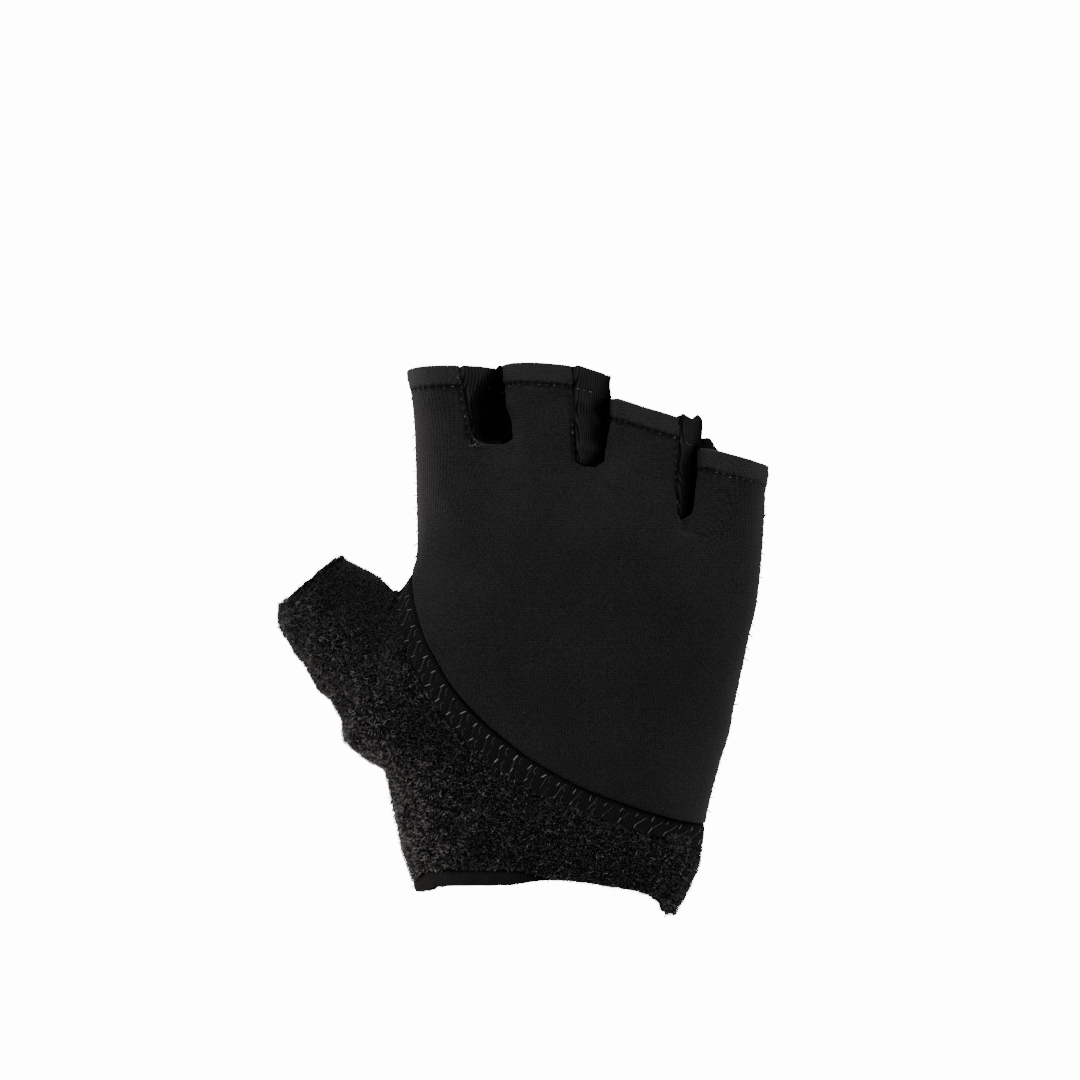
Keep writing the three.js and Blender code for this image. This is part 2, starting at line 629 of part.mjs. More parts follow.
// A row of the thumb sleeve: an oval, or past the crotch one that opens into the hand form.
function thumbRow(row, closed) {
  if (closed) return (share, grow) => thumbPoint(row, mix(-180, 180, share), grow);
  const back = alongTable(BAND_FOOT, row.along);
  const onHand = handRow({
    low: row.lowZ,
    palmAngle: thenarAngle(row.thenar),
    palmZ: row.thenar,
    backAngle: formAngle(back.x, back.z),
    backZ: back.z,
  });
  return (share, grow) => {
    const split = share * 2 - 1;
    const still = thenarAngle(row.thenar) / (thenarAngle(row.thenar) + formAngle(back.x, back.z));
    const handShare = split < 0 ? still * (1 + split) : mix(still, 1, split);
    const base = (at) => thumbPoint(row, 180 * at, grow);
    const p = base(split).lerp(onHand(handShare, grow), row.hand);
    const end = split < 0 ? palmEnd(row, grow) : backEnd(row, grow);
    const fixed = base(Math.sign(split) || 1).lerp(onHand(split < 0 ? 0 : 1, grow), row.hand);
    return p.addScaledVector(end.sub(fixed), split ** PILE_END_PULL);
  };
}

// All rows of the pile, from the thumb mouth down to the wrist edge.
function pileRows() {
  const rows = THUMB.map((row, i) => ({ closed: i <= CROTCH_ROW, point: thumbRow(row, i <= CROTCH_ROW) }));
  for (const row of WEDGE) {
    const back = alongTable(BAND_FOOT, row.along);
    const palmAngle = thenarAngle(row.thenar);
    const backAngle = formAngle(back.x, back.z);
    const backZ = back.z - SEAM_GAP;
    rows.push({ point: handRow({ low: row.low, palmAngle, palmZ: row.thenar, backAngle, backZ }) });
  }
  let last;
  for (const row of CUFF) {
    const back = alongTable(BAND_FOOT, Math.min(row.along ?? 1, 1));
    last = handRow({
      low: row.low,
      palmAngle: SIDE_SEAM,
      palmZ: row.low,
      backAngle: row.angle ?? formAngle(back.x, back.z),
      backZ: row.top ?? back.z - SEAM_GAP,
      hip: row.hip,
    });
    rows.push({ point: last });
  }
  for (let r = 1; r <= CUFF_ROWS; r += 1) {
    rows.push({
      point: (share, grow) => {
        const angle = mix(-SIDE_SEAM, WRAP_ANGLE, share);
        const edge = wristEdge(angle);
        const foot = edge.z + Math.max(edge.binding, 0) + (edge.binding > BINDING_SHOWS ? SEAM_GAP : 0);
        return formPoint(angle, mix(last(share, 0).z, foot, r / CUFF_ROWS), grow);
      },
    });
  }
  return rows;
}

// The pile cloth: thumb sleeve, wedge and cuff in one. Closed rows share their first and last point.
function thumbCuffPanel() {
  const sheet = new Sheet(PILE_PROUD, PILE_WALL);
  const crotch = (grow) => new THREE.Vector3(CROTCH.x, CROTCH.y, CROTCH.z + grow);
  const grid = pileRows().map((row, r) => {
    const numbers = [];
    for (let c = 0; c <= PILE_COLUMNS; c += 1) {
      if (row.closed && c === PILE_COLUMNS) numbers.push(numbers[0]);
      else if (r === CROTCH_ROW && c === 0) numbers.push(sheet.add(crotch));
      else numbers.push(sheet.add((grow) => row.point(c / PILE_COLUMNS, grow)));
    }
    return numbers;
  });
  sheet.fill(grid, true);
  return sheet;
}
addPiece("thumb_cuff_panel", thumbCuffPanel(), pile);

// A strip round the wrist between two angles, with its foot, its head and its distance off the form
// given at each angle.
function wristStrip({ steps, from, to, foot, head, outer, wall, levels = 1 }) {
  const sheet = new Sheet(0, wall);
  const grid = [];
  for (let n = 0; n <= steps; n += 1) {
    const angle = mix(from, to, n / steps);
    sheet.outer = outer(angle);
    const column = [];
    for (let level = 0; level <= levels; level += 1) {
      const z = mix(foot(angle), head(angle), level / levels);
      column.push(sheet.add((grow) => formPoint(angle, z, grow)));
    }
    grid.push(column);
  }
  sheet.fill(grid, from < to);
  return sheet;
}

const binding = wristStrip({
  steps: BINDING_STEPS,
  from: -SIDE_SEAM,
  to: BINDING_END,
  foot: (angle) => wristEdge(angle).z,
  head: (angle) => wristEdge(angle).z + Math.max(wristEdge(angle).binding, BINDING_LEAST),
  outer: () => BINDING_PROUD,
  wall: BINDING_WALL,
});
addPiece("wrist_binding", binding, knit);

const strap = wristStrip({
  steps: STRAP_STEPS,
  from: STRAP_START,
  to: STRAP_END,
  foot: (angle) => wristEdge(angle).z,
  head: strapTop,
  outer: (angle) => PILE_PROUD + STRAP_RAMP.lift * smooth(-angle, -STRAP_RAMP.from, -STRAP_RAMP.to),
  wall: PILE_WALL,
  levels: STRAP_LEVELS,
});
addPiece("wrist_strap", strap, pile);

const hookTab = wristStrip({
  steps: HOOK_STEPS,
  from: HOOK.from,
  to: HOOK.to,
  foot: (angle) => wristEdge(angle).z + HOOK.inset,
  head: () => HOOK.top,
  outer: () => PILE_PROUD + SEAM_GAP + HOOK_WALL,
  wall: HOOK_WALL,
});
addPiece("hook_tab", hookTab, hook);

export default glove;
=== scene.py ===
"""Looks of the fingerless grip glove: its knit, pile, band, stitches, floor, light and camera.

Tables and sizes are in millimetres, +Z along the fingers, the back of the hand faces -Y.
"""

import math

import bpy
import numpy as np
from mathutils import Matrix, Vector
from mathutils.bvhtree import BVHTree


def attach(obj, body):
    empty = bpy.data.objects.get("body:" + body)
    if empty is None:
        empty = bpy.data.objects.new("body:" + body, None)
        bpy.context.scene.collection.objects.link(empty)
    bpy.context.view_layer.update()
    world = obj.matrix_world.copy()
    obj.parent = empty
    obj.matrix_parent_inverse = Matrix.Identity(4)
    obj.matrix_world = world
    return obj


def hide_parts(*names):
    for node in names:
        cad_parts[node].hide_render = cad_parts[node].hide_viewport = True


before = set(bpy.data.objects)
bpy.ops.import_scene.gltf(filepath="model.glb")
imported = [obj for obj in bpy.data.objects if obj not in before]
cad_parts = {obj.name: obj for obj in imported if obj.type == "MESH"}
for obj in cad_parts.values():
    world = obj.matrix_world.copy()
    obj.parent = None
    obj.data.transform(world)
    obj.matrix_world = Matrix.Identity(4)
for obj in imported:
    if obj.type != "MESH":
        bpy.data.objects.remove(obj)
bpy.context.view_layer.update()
bpy.ops.object.select_all(action="DESELECT")

MM = 0.001
BODY = "root"

# Finger tubes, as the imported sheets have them: middle and half width at the mouth and at the web, depth,
# middle plane, rim heights, and the seams of the back panel at the mouth and at the web.
FINGERS = {
    "index": {"x": (-21.7, -20.4), "half": (10.2, 9.8), "deep": 10.0, "mid": 0.4,
              "rim": (117.4, 117.4), "rise": 1.0, "web": (100.8, 100.8), "back_to": (96, 106)},
    "middle": {"x": (1.2, 1.3), "half": (11.4, 11.3), "deep": 10.6, "mid": 0.2,
               "rim": (118.4, 116.0), "rise": 1.6, "web": (100.8, 95.6), "back_to": (107, 112)},
    "ring": {"x": (23.5, 22.9), "half": (9.9, 10.0), "deep": 10.0, "mid": 0.4,
             "rim": (111.2, 104.8), "rise": 0.4, "web": (95.6, 83.9), "back_to": (121, 122)},
    "little": {"x": (41.7, 40.7), "half": (7.6, 7.5), "deep": 8.8, "mid": 0.8,
               "rim": (100.0, 95.9), "rise": 0.4, "web": (83.9, 83.9), "back_to": (182, 182.6)},
}
# How square a finger tube is: 2 is an ellipse
TUBE_SQUARE = 2.15

# The hems: their stitches below the rim, how far they lean in towards the mouth for each millimetre above
# the stitches, and how much painted light, standing in for light from above, brightens their doubled cloth
# there
HEM_LINE = 4.7
HEM_LEAN = 0.3
HEM_PAINTED_LIGHT = 0.22

# Stitch pitches, and the pitch of the band's ribs
HEM_PITCH = 1.8
SIDE_PITCH = 2.7
BAND_PITCH = 3.8
BAND_RIB = 0.64
EDGE_PITCH = 1.5

# The seams between the back and the palm: their depth, and how far outside the hand form they run
SIDE_SEAM_Y = 1.5
SIDE_SEAM_OUT = 1.5

# The crease of each strip between two fingers, as x and z seen from the back: left of it the knit faces
# the light, right of it the knit folds in between the fingers and is painted in shade
CREASES = {
    "index_middle": ((-17.0, 101.0), (-18.4, 105.5), (-18.0, 109.5), (-16.6, 113.0), (-14.6, 115.6),
                     (-12.4, 118.4)),
    "middle_ring": ((8.1, 96.3), (10.4, 99.2), (9.0, 101.9), (9.4, 105.3), (8.6, 108.2), (9.8, 110.9),
                    (10.8, 114.3), (12.2, 117.4)),
    "ring_little": ((28.9, 84.6), (29.5, 95.2), (30.4, 98.5), (31.5, 100.8), (32.2, 108.4)),
}
FOLD_DEEP = 2.2

# Small folds that stand out of the painted shade of a strip and lift it, as x and z
RIDGES = {
    "index_middle": (),
    "middle_ring": (((7.0, 110.4), (9.0, 108.0), (10.6, 105.8)), ((7.2, 100.4), (9.0, 99.3), (10.6, 99.6))),
    "ring_little": (),
}

# Soft swells and hollows of the back as the hand draws it: x, z, reach and height
SWELLS = ((30.6, 78.3, 4.5, 0.6), (26.5, 71.5, 4.5, -0.35), (-8.0, 96.6, 5.0, 0.35),
          (-11.0, 100.0, 3.0, -0.35), (14.0, 93.5, 5.0, 0.3), (31.5, 20.0, 6.0, 0.4))

# The two seams of the band as seen from the back, x and z from the thumb crotch to the little-finger side
BAND_TOP = ((-31.4, 72.4), (-30.6, 65.5), (-27.6, 56.4), (-21.2, 45.7), (-11.3, 35.8), (3.6, 25.9),
            (18.5, 20.0), (34.2, 15.4))
BAND_FOOT = ((-34.0, 69.4), (-34.8, 63.6), (-33.0, 55.6), (-27.2, 44.2), (-16.4, 31.8), (0.0, 21.4),
             (16.8, 15.2), (33.4, 10.4))

# The two needle rows of the band, as shares of the way from its upper seam to its lower one
NEEDLE_ROWS = (0.26, 0.74)

# The hand form: height, thumb-side and little-finger-side outline
OUTLINE = ((-8, -27.0, 28.4), (8, -31.2, 33.6), (24, -36.4, 36.5), (37, -46.8, 40.2), (50, -45.6, 43.0),
           (64, -39.2, 46.2), (77, -30.3, 47.5), (96, -30.7, 48.5), (122, -32.0, 49.4))
THUMB_AXIS = ((-54.5, 5.2, 70.7), (-40.0, 1.0, 56.0))

# The glove's outline seen from the back, up each side: height, place of the edge, and how far the dressed
# cloth fills out past its solids there (less than nothing where it draws in)
THUMB_SIDE_FIT = ((-6, -28.0, 1.6), (0.5, -29.7, 1.6), (5.9, -31.5, 1.3), (13.1, -33.3, 0.9),
                  (18.5, -35.3, 0), (22, -36.0, 0), (25.7, -36.7, -1.0), (27.5, -37.4, -1.8),
                  (29.3, -40.3, -0.6), (32.9, -45.0, 0), (38.3, -46.6, -0.2), (41.9, -48.6, 0.5),
                  (45.5, -51.3, 1.6), (51, -54.6, 0.3), (57, -59.3, 0.3), (61.7, -61.7, 1.0),
                  (65.3, -60.5, -0.5), (76, -52.0, 0))
LITTLE_SIDE_FIT = ((-4, 28.5, -1.2), (-1, 30.2, -0.4), (2, 31.0, 0), (6, 33.3, 0.4), (9.2, 34.0, -0.2),
                   (11.5, 34.2, 0.8), (16, 34.2, 0.7), (25, 37.0, 0.5), (60, 45.0, 0.5), (85, 48.0, 0.4),
                   (92, 48.5, 0.2), (100, 49.0, 0))
CROTCH_FOOT = (-34.0, 70.0)

# How far each tab's thumb-side edge, beside a strip, leans towards the strip (less than nothing: away from
# it), by height up the hand
TAB_LEAN = {
    "middle": ((99, -1.0), (106, -0.9), (109.5, 0.1), (120, 0.2)),
    "ring": ((93, 2.0), (97.5, 1.3), (102.5, 0.8), (106.5, 0.0), (120, 0.0)),
    "little": ((82, 2.6), (84.3, 2.4), (87, 1.6), (94.7, 1.0), (102, 1.1)),
}


def select_only(piece):
    """Leaves one piece selected and active."""
    bpy.ops.object.select_all(action="DESELECT")
    piece.select_set(True)
    bpy.context.view_layer.objects.active = piece


def finish_piece(piece, material, replaces=()):
    """Dresses a piece and ties it to the glove."""
    piece.data.materials.clear()
    piece.data.materials.append(material)
    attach(piece, BODY)
    if replaces:
        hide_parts(*replaces)
    return piece


def new_piece(name, mesh):
    """An object for a mesh, in the scene and selected."""
    piece = bpy.data.objects.new(name, mesh)
    bpy.context.scene.collection.objects.link(piece)
    select_only(piece)
    return piece


def piece_from(name, vertices, faces):
    """A new piece from vertices in millimetres and faces."""
    mesh = bpy.data.meshes.new(name)
    mesh.from_pydata((np.asarray(vertices) * MM).tolist(), [], faces)
    return new_piece(name, mesh)


# Arrays of places and normals, in millimetres


def places(piece):
    """A piece's vertices."""
    flat = np.empty(len(piece.data.vertices) * 3)
    piece.data.vertices.foreach_get("co", flat)
    return flat.reshape(-1, 3) / MM


def normals(piece):
    """The normals at a piece's vertices."""
    flat = np.empty(len(piece.data.vertices) * 3)
    piece.data.vertices.foreach_get("normal", flat)
    return flat.reshape(-1, 3)


def move_to(piece, place):
    """Moves a piece's vertices to new places."""
    piece.data.vertices.foreach_set("co", (place * MM).ravel())
    piece.data.update()


def push(piece, distance):
    """Moves each vertex along its normal by its distance."""
    move_to(piece, places(piece) + normals(piece) * distance[:, None])


def smooth_step(low, high, value):
    """0 up to a low value, 1 from a high one, and a smooth rise between. High may be the smaller."""
    share = np.clip((value - low) / (high - low), 0, 1)
    return share * share * (3 - 2 * share)


def mark(piece, name, values):
    """Gives a piece a number at each vertex for its material."""
    layer = piece.data.attributes.new(name, "FLOAT", "POINT")
    layer.data.foreach_set("value", values.astype(np.float32))


def unit(vectors):
    """Vectors of length 1."""
    return vectors / np.maximum(np.linalg.norm(vectors, axis=-1, keepdims=True), 1e-9)


def waves(place, length, seed, count=10):
    """Smooth irregular heights of about -1 to 1 whose bumps have the given length."""
    pick = np.random.default_rng(seed)
    total = np.zeros(len(place))
    for _ in range(count):
        way = unit(pick.normal(size=3)) * 2 * math.pi / (length * pick.uniform(0.75, 1.4))
        total += np.sin(place @ way + pick.uniform(0, 2 * math.pi))
    return total / math.sqrt(count)


def along(place, route):
    """How far each place lies from a route, and how far along the route its nearest point is."""
    apart = np.full(len(place), np.inf)
    at = np.zeros(len(place))
    travelled = 0.0
    for start, step in zip(route[:-1], np.diff(route, axis=0)):
        length = np.linalg.norm(step)
        share = np.clip((place - start) @ step / max(length * length, 1e-9), 0, 1)
        here = np.linalg.norm(place - start - share[:, None] * step, axis=1)
        nearer = here < apart
        apart[nearer] = here[nearer]
        at[nearer] = travelled + share[nearer] * length
        travelled += length
    return apart, at


def point_at(route, at):
    """The points of a route at distances along it."""
    steps = np.linalg.norm(np.diff(route, axis=0), axis=1)
    travelled = np.concatenate([[0], np.cumsum(steps)])
    return np.stack([np.interp(at, travelled, route[:, axis]) for axis in range(3)], axis=1)


def even(route, pitch):
    """The points of a route a pitch apart, and the route's direction at each."""
    route = np.asarray(route, float)
    length = np.linalg.norm(np.diff(route, axis=0), axis=1).sum()
    stops = np.arange(pitch / 2, length, pitch)
    return point_at(route, stops), unit(point_at(route, stops + 0.3) - point_at(route, stops - 0.3))


def curve_through(table, count):
    """Points on a smooth curve through a table's rows."""
    rows = np.asarray(table, float)
    padded = np.vstack([2 * rows[0] - rows[1], rows, 2 * rows[-1] - rows[-2]])
    out = []
    for t in np.linspace(0, len(rows) - 1, count):
        i = min(int(t), len(rows) - 2)
        p, q, r, s = padded[i : i + 4]
        f = t - i
        out.append(q + 0.5 * f * (r - p + f * (2 * p - 5 * q + 4 * r - s + f * (3 * (q - r) + s - p))))
    return np.array(out)


def read_table(table, at, column=1):
    """A column of a table, read off at values of its first column."""
    rows = np.asarray(table, float)
    return np.interp(at, rows[:, 0], rows[:, column])


# The glove's own lines


def tube_point(finger, angle, z, grow=0.0):
    """A point on a finger tube: angle 0 on its thumb side, 90 on its back, 180 on its little-finger side."""
    low, high = min(finger["web"]), max(finger["rim"])
    share = np.clip((z - low) / (high - low), 0, 1)
    half = finger["half"][1] + (finger["half"][0] - finger["half"][1]) * share + grow
    x = finger["x"][1] + (finger["x"][0] - finger["x"][1]) * share
    across, deep = math.cos(math.radians(angle)), math.sin(math.radians(angle))
    across = math.copysign(abs(across) ** (2 / TUBE_SQUARE), across)
    deep = math.copysign(abs(deep) ** (2 / TUBE_SQUARE), deep)
    return (x - half * across, finger["mid"] - (finger["deep"] + grow) * deep, z)


def rim_height(finger, angle):
    """The height of a finger's rim at an angle round its tube."""
    across = (1 - math.cos(math.radians(angle))) / 2
    low, high = finger["rim"]
    return low + (high - low) * across + finger["rise"] * abs(math.sin(math.radians(angle)))


def hem_route(finger):
    """The cover-stitch line round a finger's turned hem."""
    return [tube_point(finger, angle, rim_height(finger, angle) - HEM_LINE, 0.4)
            for angle in range(0, 361, 6)]


def slot_route(before, after):
    """The stitch line down the little-finger edge of a tab and under the web to the next tab."""
    mouth, web = before["back_to"]
    foot = before["web"][1]
    top = rim_height(before, mouth)
    route = []
    for z in np.linspace(top - 0.5, foot + 1.2, 14):
        angle = web + (mouth - web) * (z - foot) / (top - foot)
        route.append(tube_point(before, angle - 3.5, z, 0.6))
    left = np.array(route[-1])
    right = np.array(tube_point(after, 22, foot + 1.5, 0.6))
    for share in np.linspace(0.08, 0.92, 10):
        point = left + (right - left) * share
        point[2] -= 2.2 * math.sqrt(math.sin(math.pi * share))
        route.append(tuple(point))
    return route


def hand_side(place):
    """Where each place's nearest core line is: the middle of the hand, of a finger or of the thumb."""
    z = place[:, 2]
    middle = (read_table(OUTLINE, z) + read_table(OUTLINE, z, 2)) / 2
    core = np.stack([np.clip(place[:, 0], middle - 20, middle + 20), np.zeros(len(z)), z], axis=1)
    for finger in FINGERS.values():
        near = (z > min(finger["web"]) - 4) & (np.abs(place[:, 0] - finger["x"][0]) < finger["half"][0] + 1)
        core[near, 0] = finger["x"][0]
        core[near, 1] = finger["mid"]
    start, end = np.array(THUMB_AXIS)
    share = np.clip((place - start) @ (end - start) / ((end - start) @ (end - start)), -0.5, 1)
    on_thumb = (share < 1) & (place[:, 0] < -32) & (z > 44)
    core[on_thumb] = (start + share[:, None] * (end - start))[on_thumb]
    return core


def outside(piece):
    """1 where the cloth's outer face is, 0 on its inner face."""
    place = places(piece)
    facing = np.sum(normals(piece) * unit(place - hand_side(place)), axis=1)
    return np.clip(facing * 2 + 0.5, 0, 1)


def form_angle(place):
    """The angle round the hand form, -180 to 180, and the length round it from the middle of the back."""
    left, right = (read_table(OUTLINE, place[:, 2], column) for column in (1, 2))
    across = np.clip((place[:, 0] - (left + right) / 2) / ((right - left) / 2), -1, 1)
    deep = np.clip(place[:, 1] / 17, -1, 1)
    angle = np.arctan2(np.sign(across) * np.abs(across) ** 1.2, np.abs(deep) ** 1.2)
    turns = np.linspace(-math.pi / 2, math.pi / 2, 400)
    x = 40 * np.sign(np.sin(turns)) * np.abs(np.sin(turns)) ** (1 / 1.2)
    y = 17 * np.abs(np.cos(turns)) ** (1 / 1.2)
    lengths = np.concatenate([[0], np.cumsum(np.hypot(np.diff(x), np.diff(y)))])
    return np.interp(angle, turns, lengths - lengths[200])


def fit_outline(piece):
    """Fills a dressed piece out to the glove's outline as seen from the back, and sinks the thumb crotch."""
    place = places(piece)
    for table, side in ((THUMB_SIDE_FIT, -1), (LITTLE_SIDE_FIT, 1)):
        edge, shift = (read_table(table, place[:, 2], column) for column in (1, 2))
        place[:, 0] += side * shift * smooth_step(7, 1, (edge - place[:, 0]) * side)
    crotch = np.hypot((place[:, 0] - CROTCH_FOOT[0]) / 3.0, (place[:, 2] - CROTCH_FOOT[1]) / 4.0)
    place[:, 2] -= 1.3 * np.exp(-(crotch ** 2))
    move_to(piece, place)


def give_map(piece, across, up):
    """A UV map called cloth, in millimetres, for the weave to follow."""
    layer = piece.data.uv_layers.get("cloth") or piece.data.uv_layers.new(name="cloth")
    corners = np.empty(len(piece.data.loops), int)
    piece.data.loops.foreach_get("vertex_index", corners)
    layer.data.foreach_set("uv", np.stack([across, up], axis=1)[corners].ravel())


# Cloth


def cloth(node, rounds=3, crease=0.55):
    """A copy of a packed sheet, merged into quads, its rims creased a little, subdivided until it flows."""
    piece = new_piece(node + "_cloth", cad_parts[node].data.copy())
    bpy.ops.mesh.customdata_custom_splitnormals_clear()
    bpy.ops.object.mode_set(mode="EDIT")
    bpy.ops.mesh.select_mode(type="EDGE")
    bpy.ops.mesh.select_all(action="SELECT")
    bpy.ops.mesh.remove_doubles(threshold=1e-6)
    bpy.ops.mesh.tris_convert_to_quads(face_threshold=math.pi, shape_threshold=math.pi)
    bpy.ops.mesh.select_all(action="DESELECT")
    bpy.ops.mesh.edges_select_sharp(sharpness=math.radians(50))
    bpy.ops.transform.edge_crease(value=crease)
    bpy.ops.object.mode_set(mode="OBJECT")
    flow = piece.modifiers.new("flow", "SUBSURF")
    flow.levels = flow.render_levels = rounds
    bpy.ops.object.modifier_apply(modifier="flow")
    bpy.ops.object.shade_smooth()
    return piece


def surface_of(*pieces):
    """One search tree over the faces of several pieces, in millimetres."""
    corners, faces = [], []
    for piece in pieces:
        start = len(corners)
        corners.extend(Vector(p) for p in places(piece))
        faces.extend([start + v for v in face.vertices] for face in piece.data.polygons)
    return BVHTree.FromPolygons(corners, faces)


def settle(points, surface, lift=0.0):
    """Each point's nearest place on a surface, lifted off it, and the surface's normal there."""
    seats, ways = [], []
    for point in points:
        place, normal, _, _ = surface.find_nearest(Vector(point))
        seats.append(np.array(place) + lift * np.array(normal))
        ways.append(np.array(normal))
    return np.array(seats), np.array(ways)


# Materials


def srgb(code):
    """A hex colour as linear red, green, blue and alpha."""
    channels = [int(code[i : i + 2], 16) / 255 for i in (1, 3, 5)]
    return [c / 12.92 if c <= 0.04045 else ((c + 0.055) / 1.055) ** 2.4 for c in channels] + [1.0]


def add_node(tree, kind, inputs=(), **settings):
    """Adds a node with its settings. An input is a value, or a (node, socket) pair that is linked to it."""
    made = tree.nodes.new(kind)
    for name, value in settings.items():
        setattr(made, name, value)
    for name, value in dict(inputs).items():
        if isinstance(value, tuple) and isinstance(value[0], bpy.types.Node):
            tree.links.new(value[0].outputs[value[1]], made.inputs[name])
        else:
            made.inputs[name].default_value = value
    return made


def new_material(name):
    """A material with nodes and nothing in it, and its tree."""
    material = bpy.data.materials.new(name)
    material.use_nodes = True
    material.node_tree.nodes.clear()
    return material, material.node_tree


def ramp(tree, factor, stops):
    """A colour ramp over a factor, from (place, hex colour) stops."""
    made = add_node(tree, "ShaderNodeValToRGB", {"Fac": factor})
    for n, (place, code) in enumerate(stops):
        stop = made.color_ramp.elements[n] if n < 2 else made.color_ramp.elements.new(place)
        stop.position = place
        stop.color = srgb(code)
    return made


def shaded(material, tree, colour, inputs, relief=None, strength=1.0, distance=0.0, **settings):
    """Gives a material its shader, and a bump where it has a relief, and returns the material."""
    inputs = {"Base Color": (colour, "Color"), **inputs}
    if relief:
        bump = add_node(tree, "ShaderNodeBump", {
            "Strength": strength, "Distance": distance, "Height": relief}, **settings)
        inputs["Normal"] = (bump, "Normal")
    shader = add_node(tree, "ShaderNodeBsdfPrincipled", inputs)
    add_node(tree, "ShaderNodeOutputMaterial", {"Surface": (shader, "BSDF")})
    return material


def scaled_sum(tree, value, share, more):
    """A value times a share, plus one more value. Each is a number or a (node, socket) pair."""
    return add_node(tree, "ShaderNodeMath", {0: value, 1: share, 2: more}, operation="MULTIPLY_ADD")


def wave_scale(pitch):
    """The scale at which a wave texture repeats after a pitch, in the units of its coordinates."""
    return math.pi / (10 * pitch)


def painted_light_factor(tree):
    """1 on plain cloth, below 1 where shade is painted into stitch lines, seams and folds, and above 1 where
    light is painted on the hems, by the attribute that carries the painted light and shade.
    """
    shut = add_node(tree, "ShaderNodeAttribute", attribute_name="shut")
    return add_node(tree, "ShaderNodeMath", {0: 1.0, 1: (shut, "Fac")}, operation="SUBTRACT")


def scuba_knit():
    """Polyester and elastane scuba knit, circular-knitted and heat-set. The eye sees a matt black with fine
    wales up the hand, drawn 0.62 mm apart so that they show, and a soft grey where the cloth turns away."""
    material, tree = new_material("scuba_knit")
    cloth_map = add_node(tree, "ShaderNodeUVMap", uv_map="cloth")
    place = add_node(tree, "ShaderNodeTexCoord")
    wales = add_node(tree, "ShaderNodeTexWave", {
        "Vector": (cloth_map, "UV"), "Scale": wave_scale(0.62), "Distortion": 1.2, "Detail": 2.0,
        "Detail Scale": 1.6})
    courses = add_node(tree, "ShaderNodeTexWave", {
        "Vector": (cloth_map, "UV"), "Scale": wave_scale(0.46), "Distortion": 1.5, "Detail": 2.0},
        bands_direction="Y")
    loops = add_node(tree, "ShaderNodeMath", {0: (wales, "Fac"), 1: (courses, "Fac")}, operation="MULTIPLY")
    lint = add_node(tree, "ShaderNodeTexNoise", {
        "Vector": (place, "Object"), "Scale": 2600.0, "Detail": 3.0, "Roughness": 0.7})
    cloudy = add_node(tree, "ShaderNodeTexNoise", {
        "Vector": (place, "Object"), "Scale": 60.0, "Detail": 2.0})
    tone = scaled_sum(tree, (lint, "Fac"), 0.75, 0.0)
    tone = scaled_sum(tree, (cloudy, "Fac"), 0.15, (tone, "Value"))
    tone = scaled_sum(tree, (loops, "Value"), 0.15, (tone, "Value"))
    # The knit darkens with the shade painted in its stitch lines and seams, and lightens with the light
    # painted on the hems
    tone = scaled_sum(tree, (tone, "Value"), (painted_light_factor(tree), "Value"), 0.0)
    colour = ramp(tree, (tone, "Value"), ((0.1, "#010101"), (0.38, "#050506"), (0.65, "#202021")))
    relief = scaled_sum(tree, (lint, "Fac"), 0.8, (loops, "Value"))
    finish = {"Roughness": 0.82, "Specular IOR Level": 0.09, "Sheen Weight": 0.04, "Sheen Roughness": 0.5}
    return shaded(material, tree, colour, finish, (relief, "Value"), 0.8, 0.00016)


def ribbed_knit(name, pitch, dark, light, depth):
    """Warp-knitted elastic cloth. The eye sees fine ribs across its run, a low lustre on their crests, partly
    painted into their colour, and painted shade in its folds and seams."""
    material, tree = new_material(name)
    cloth_map = add_node(tree, "ShaderNodeUVMap", uv_map="cloth")
    place = add_node(tree, "ShaderNodeTexCoord")
    ribs = add_node(tree, "ShaderNodeTexWave", {
        "Vector": (cloth_map, "UV"), "Scale": wave_scale(pitch), "Distortion": 0.9, "Detail": 2.0,
        "Detail Scale": 2.0})
    lint = add_node(tree, "ShaderNodeTexNoise", {
        "Vector": (place, "Object"), "Scale": 2200.0, "Detail": 3.0, "Roughness": 0.7})
    relief = scaled_sum(tree, (lint, "Fac"), 0.7, (ribs, "Fac"))
    # The rib darkens with the shade painted in the strips' folds, along the band's upper edge and on the
    # binding
    tone = scaled_sum(tree, (relief, "Value"), (painted_light_factor(tree), "Value"), 0.0)
    colour = ramp(tree, (tone, "Value"), ((0.02, "#000000"), (0.35, dark), (1.1, light)))
    finish = {"Roughness": 0.8, "Specular IOR Level": 0.03}
    return shaded(material, tree, colour, finish, (relief, "Value"), 0.7, depth)


def pile_ground():
    """Ground knit of a brushed loop pile. The eye sees it only as the dark between the loops."""
    material, tree = new_material("pile_ground")
    place = add_node(tree, "ShaderNodeTexCoord")
    tufts = add_node(tree, "ShaderNodeTexVoronoi", {"Vector": (place, "Object"), "Scale": 1100.0})
    lint = add_node(tree, "ShaderNodeTexNoise", {
        "Vector": (place, "Object"), "Scale": 2300.0, "Detail": 4.0, "Roughness": 0.8})
    colour = ramp(tree, (lint, "Fac"), ((0.40, "#030303"), (0.58, "#0e0e0e"), (0.76, "#2b2b2a")))
    finish = {"Roughness": 0.95, "Specular IOR Level": 0.05}
    return shaded(material, tree, colour, finish, (tufts, "Distance"), 0.9, 0.0003)


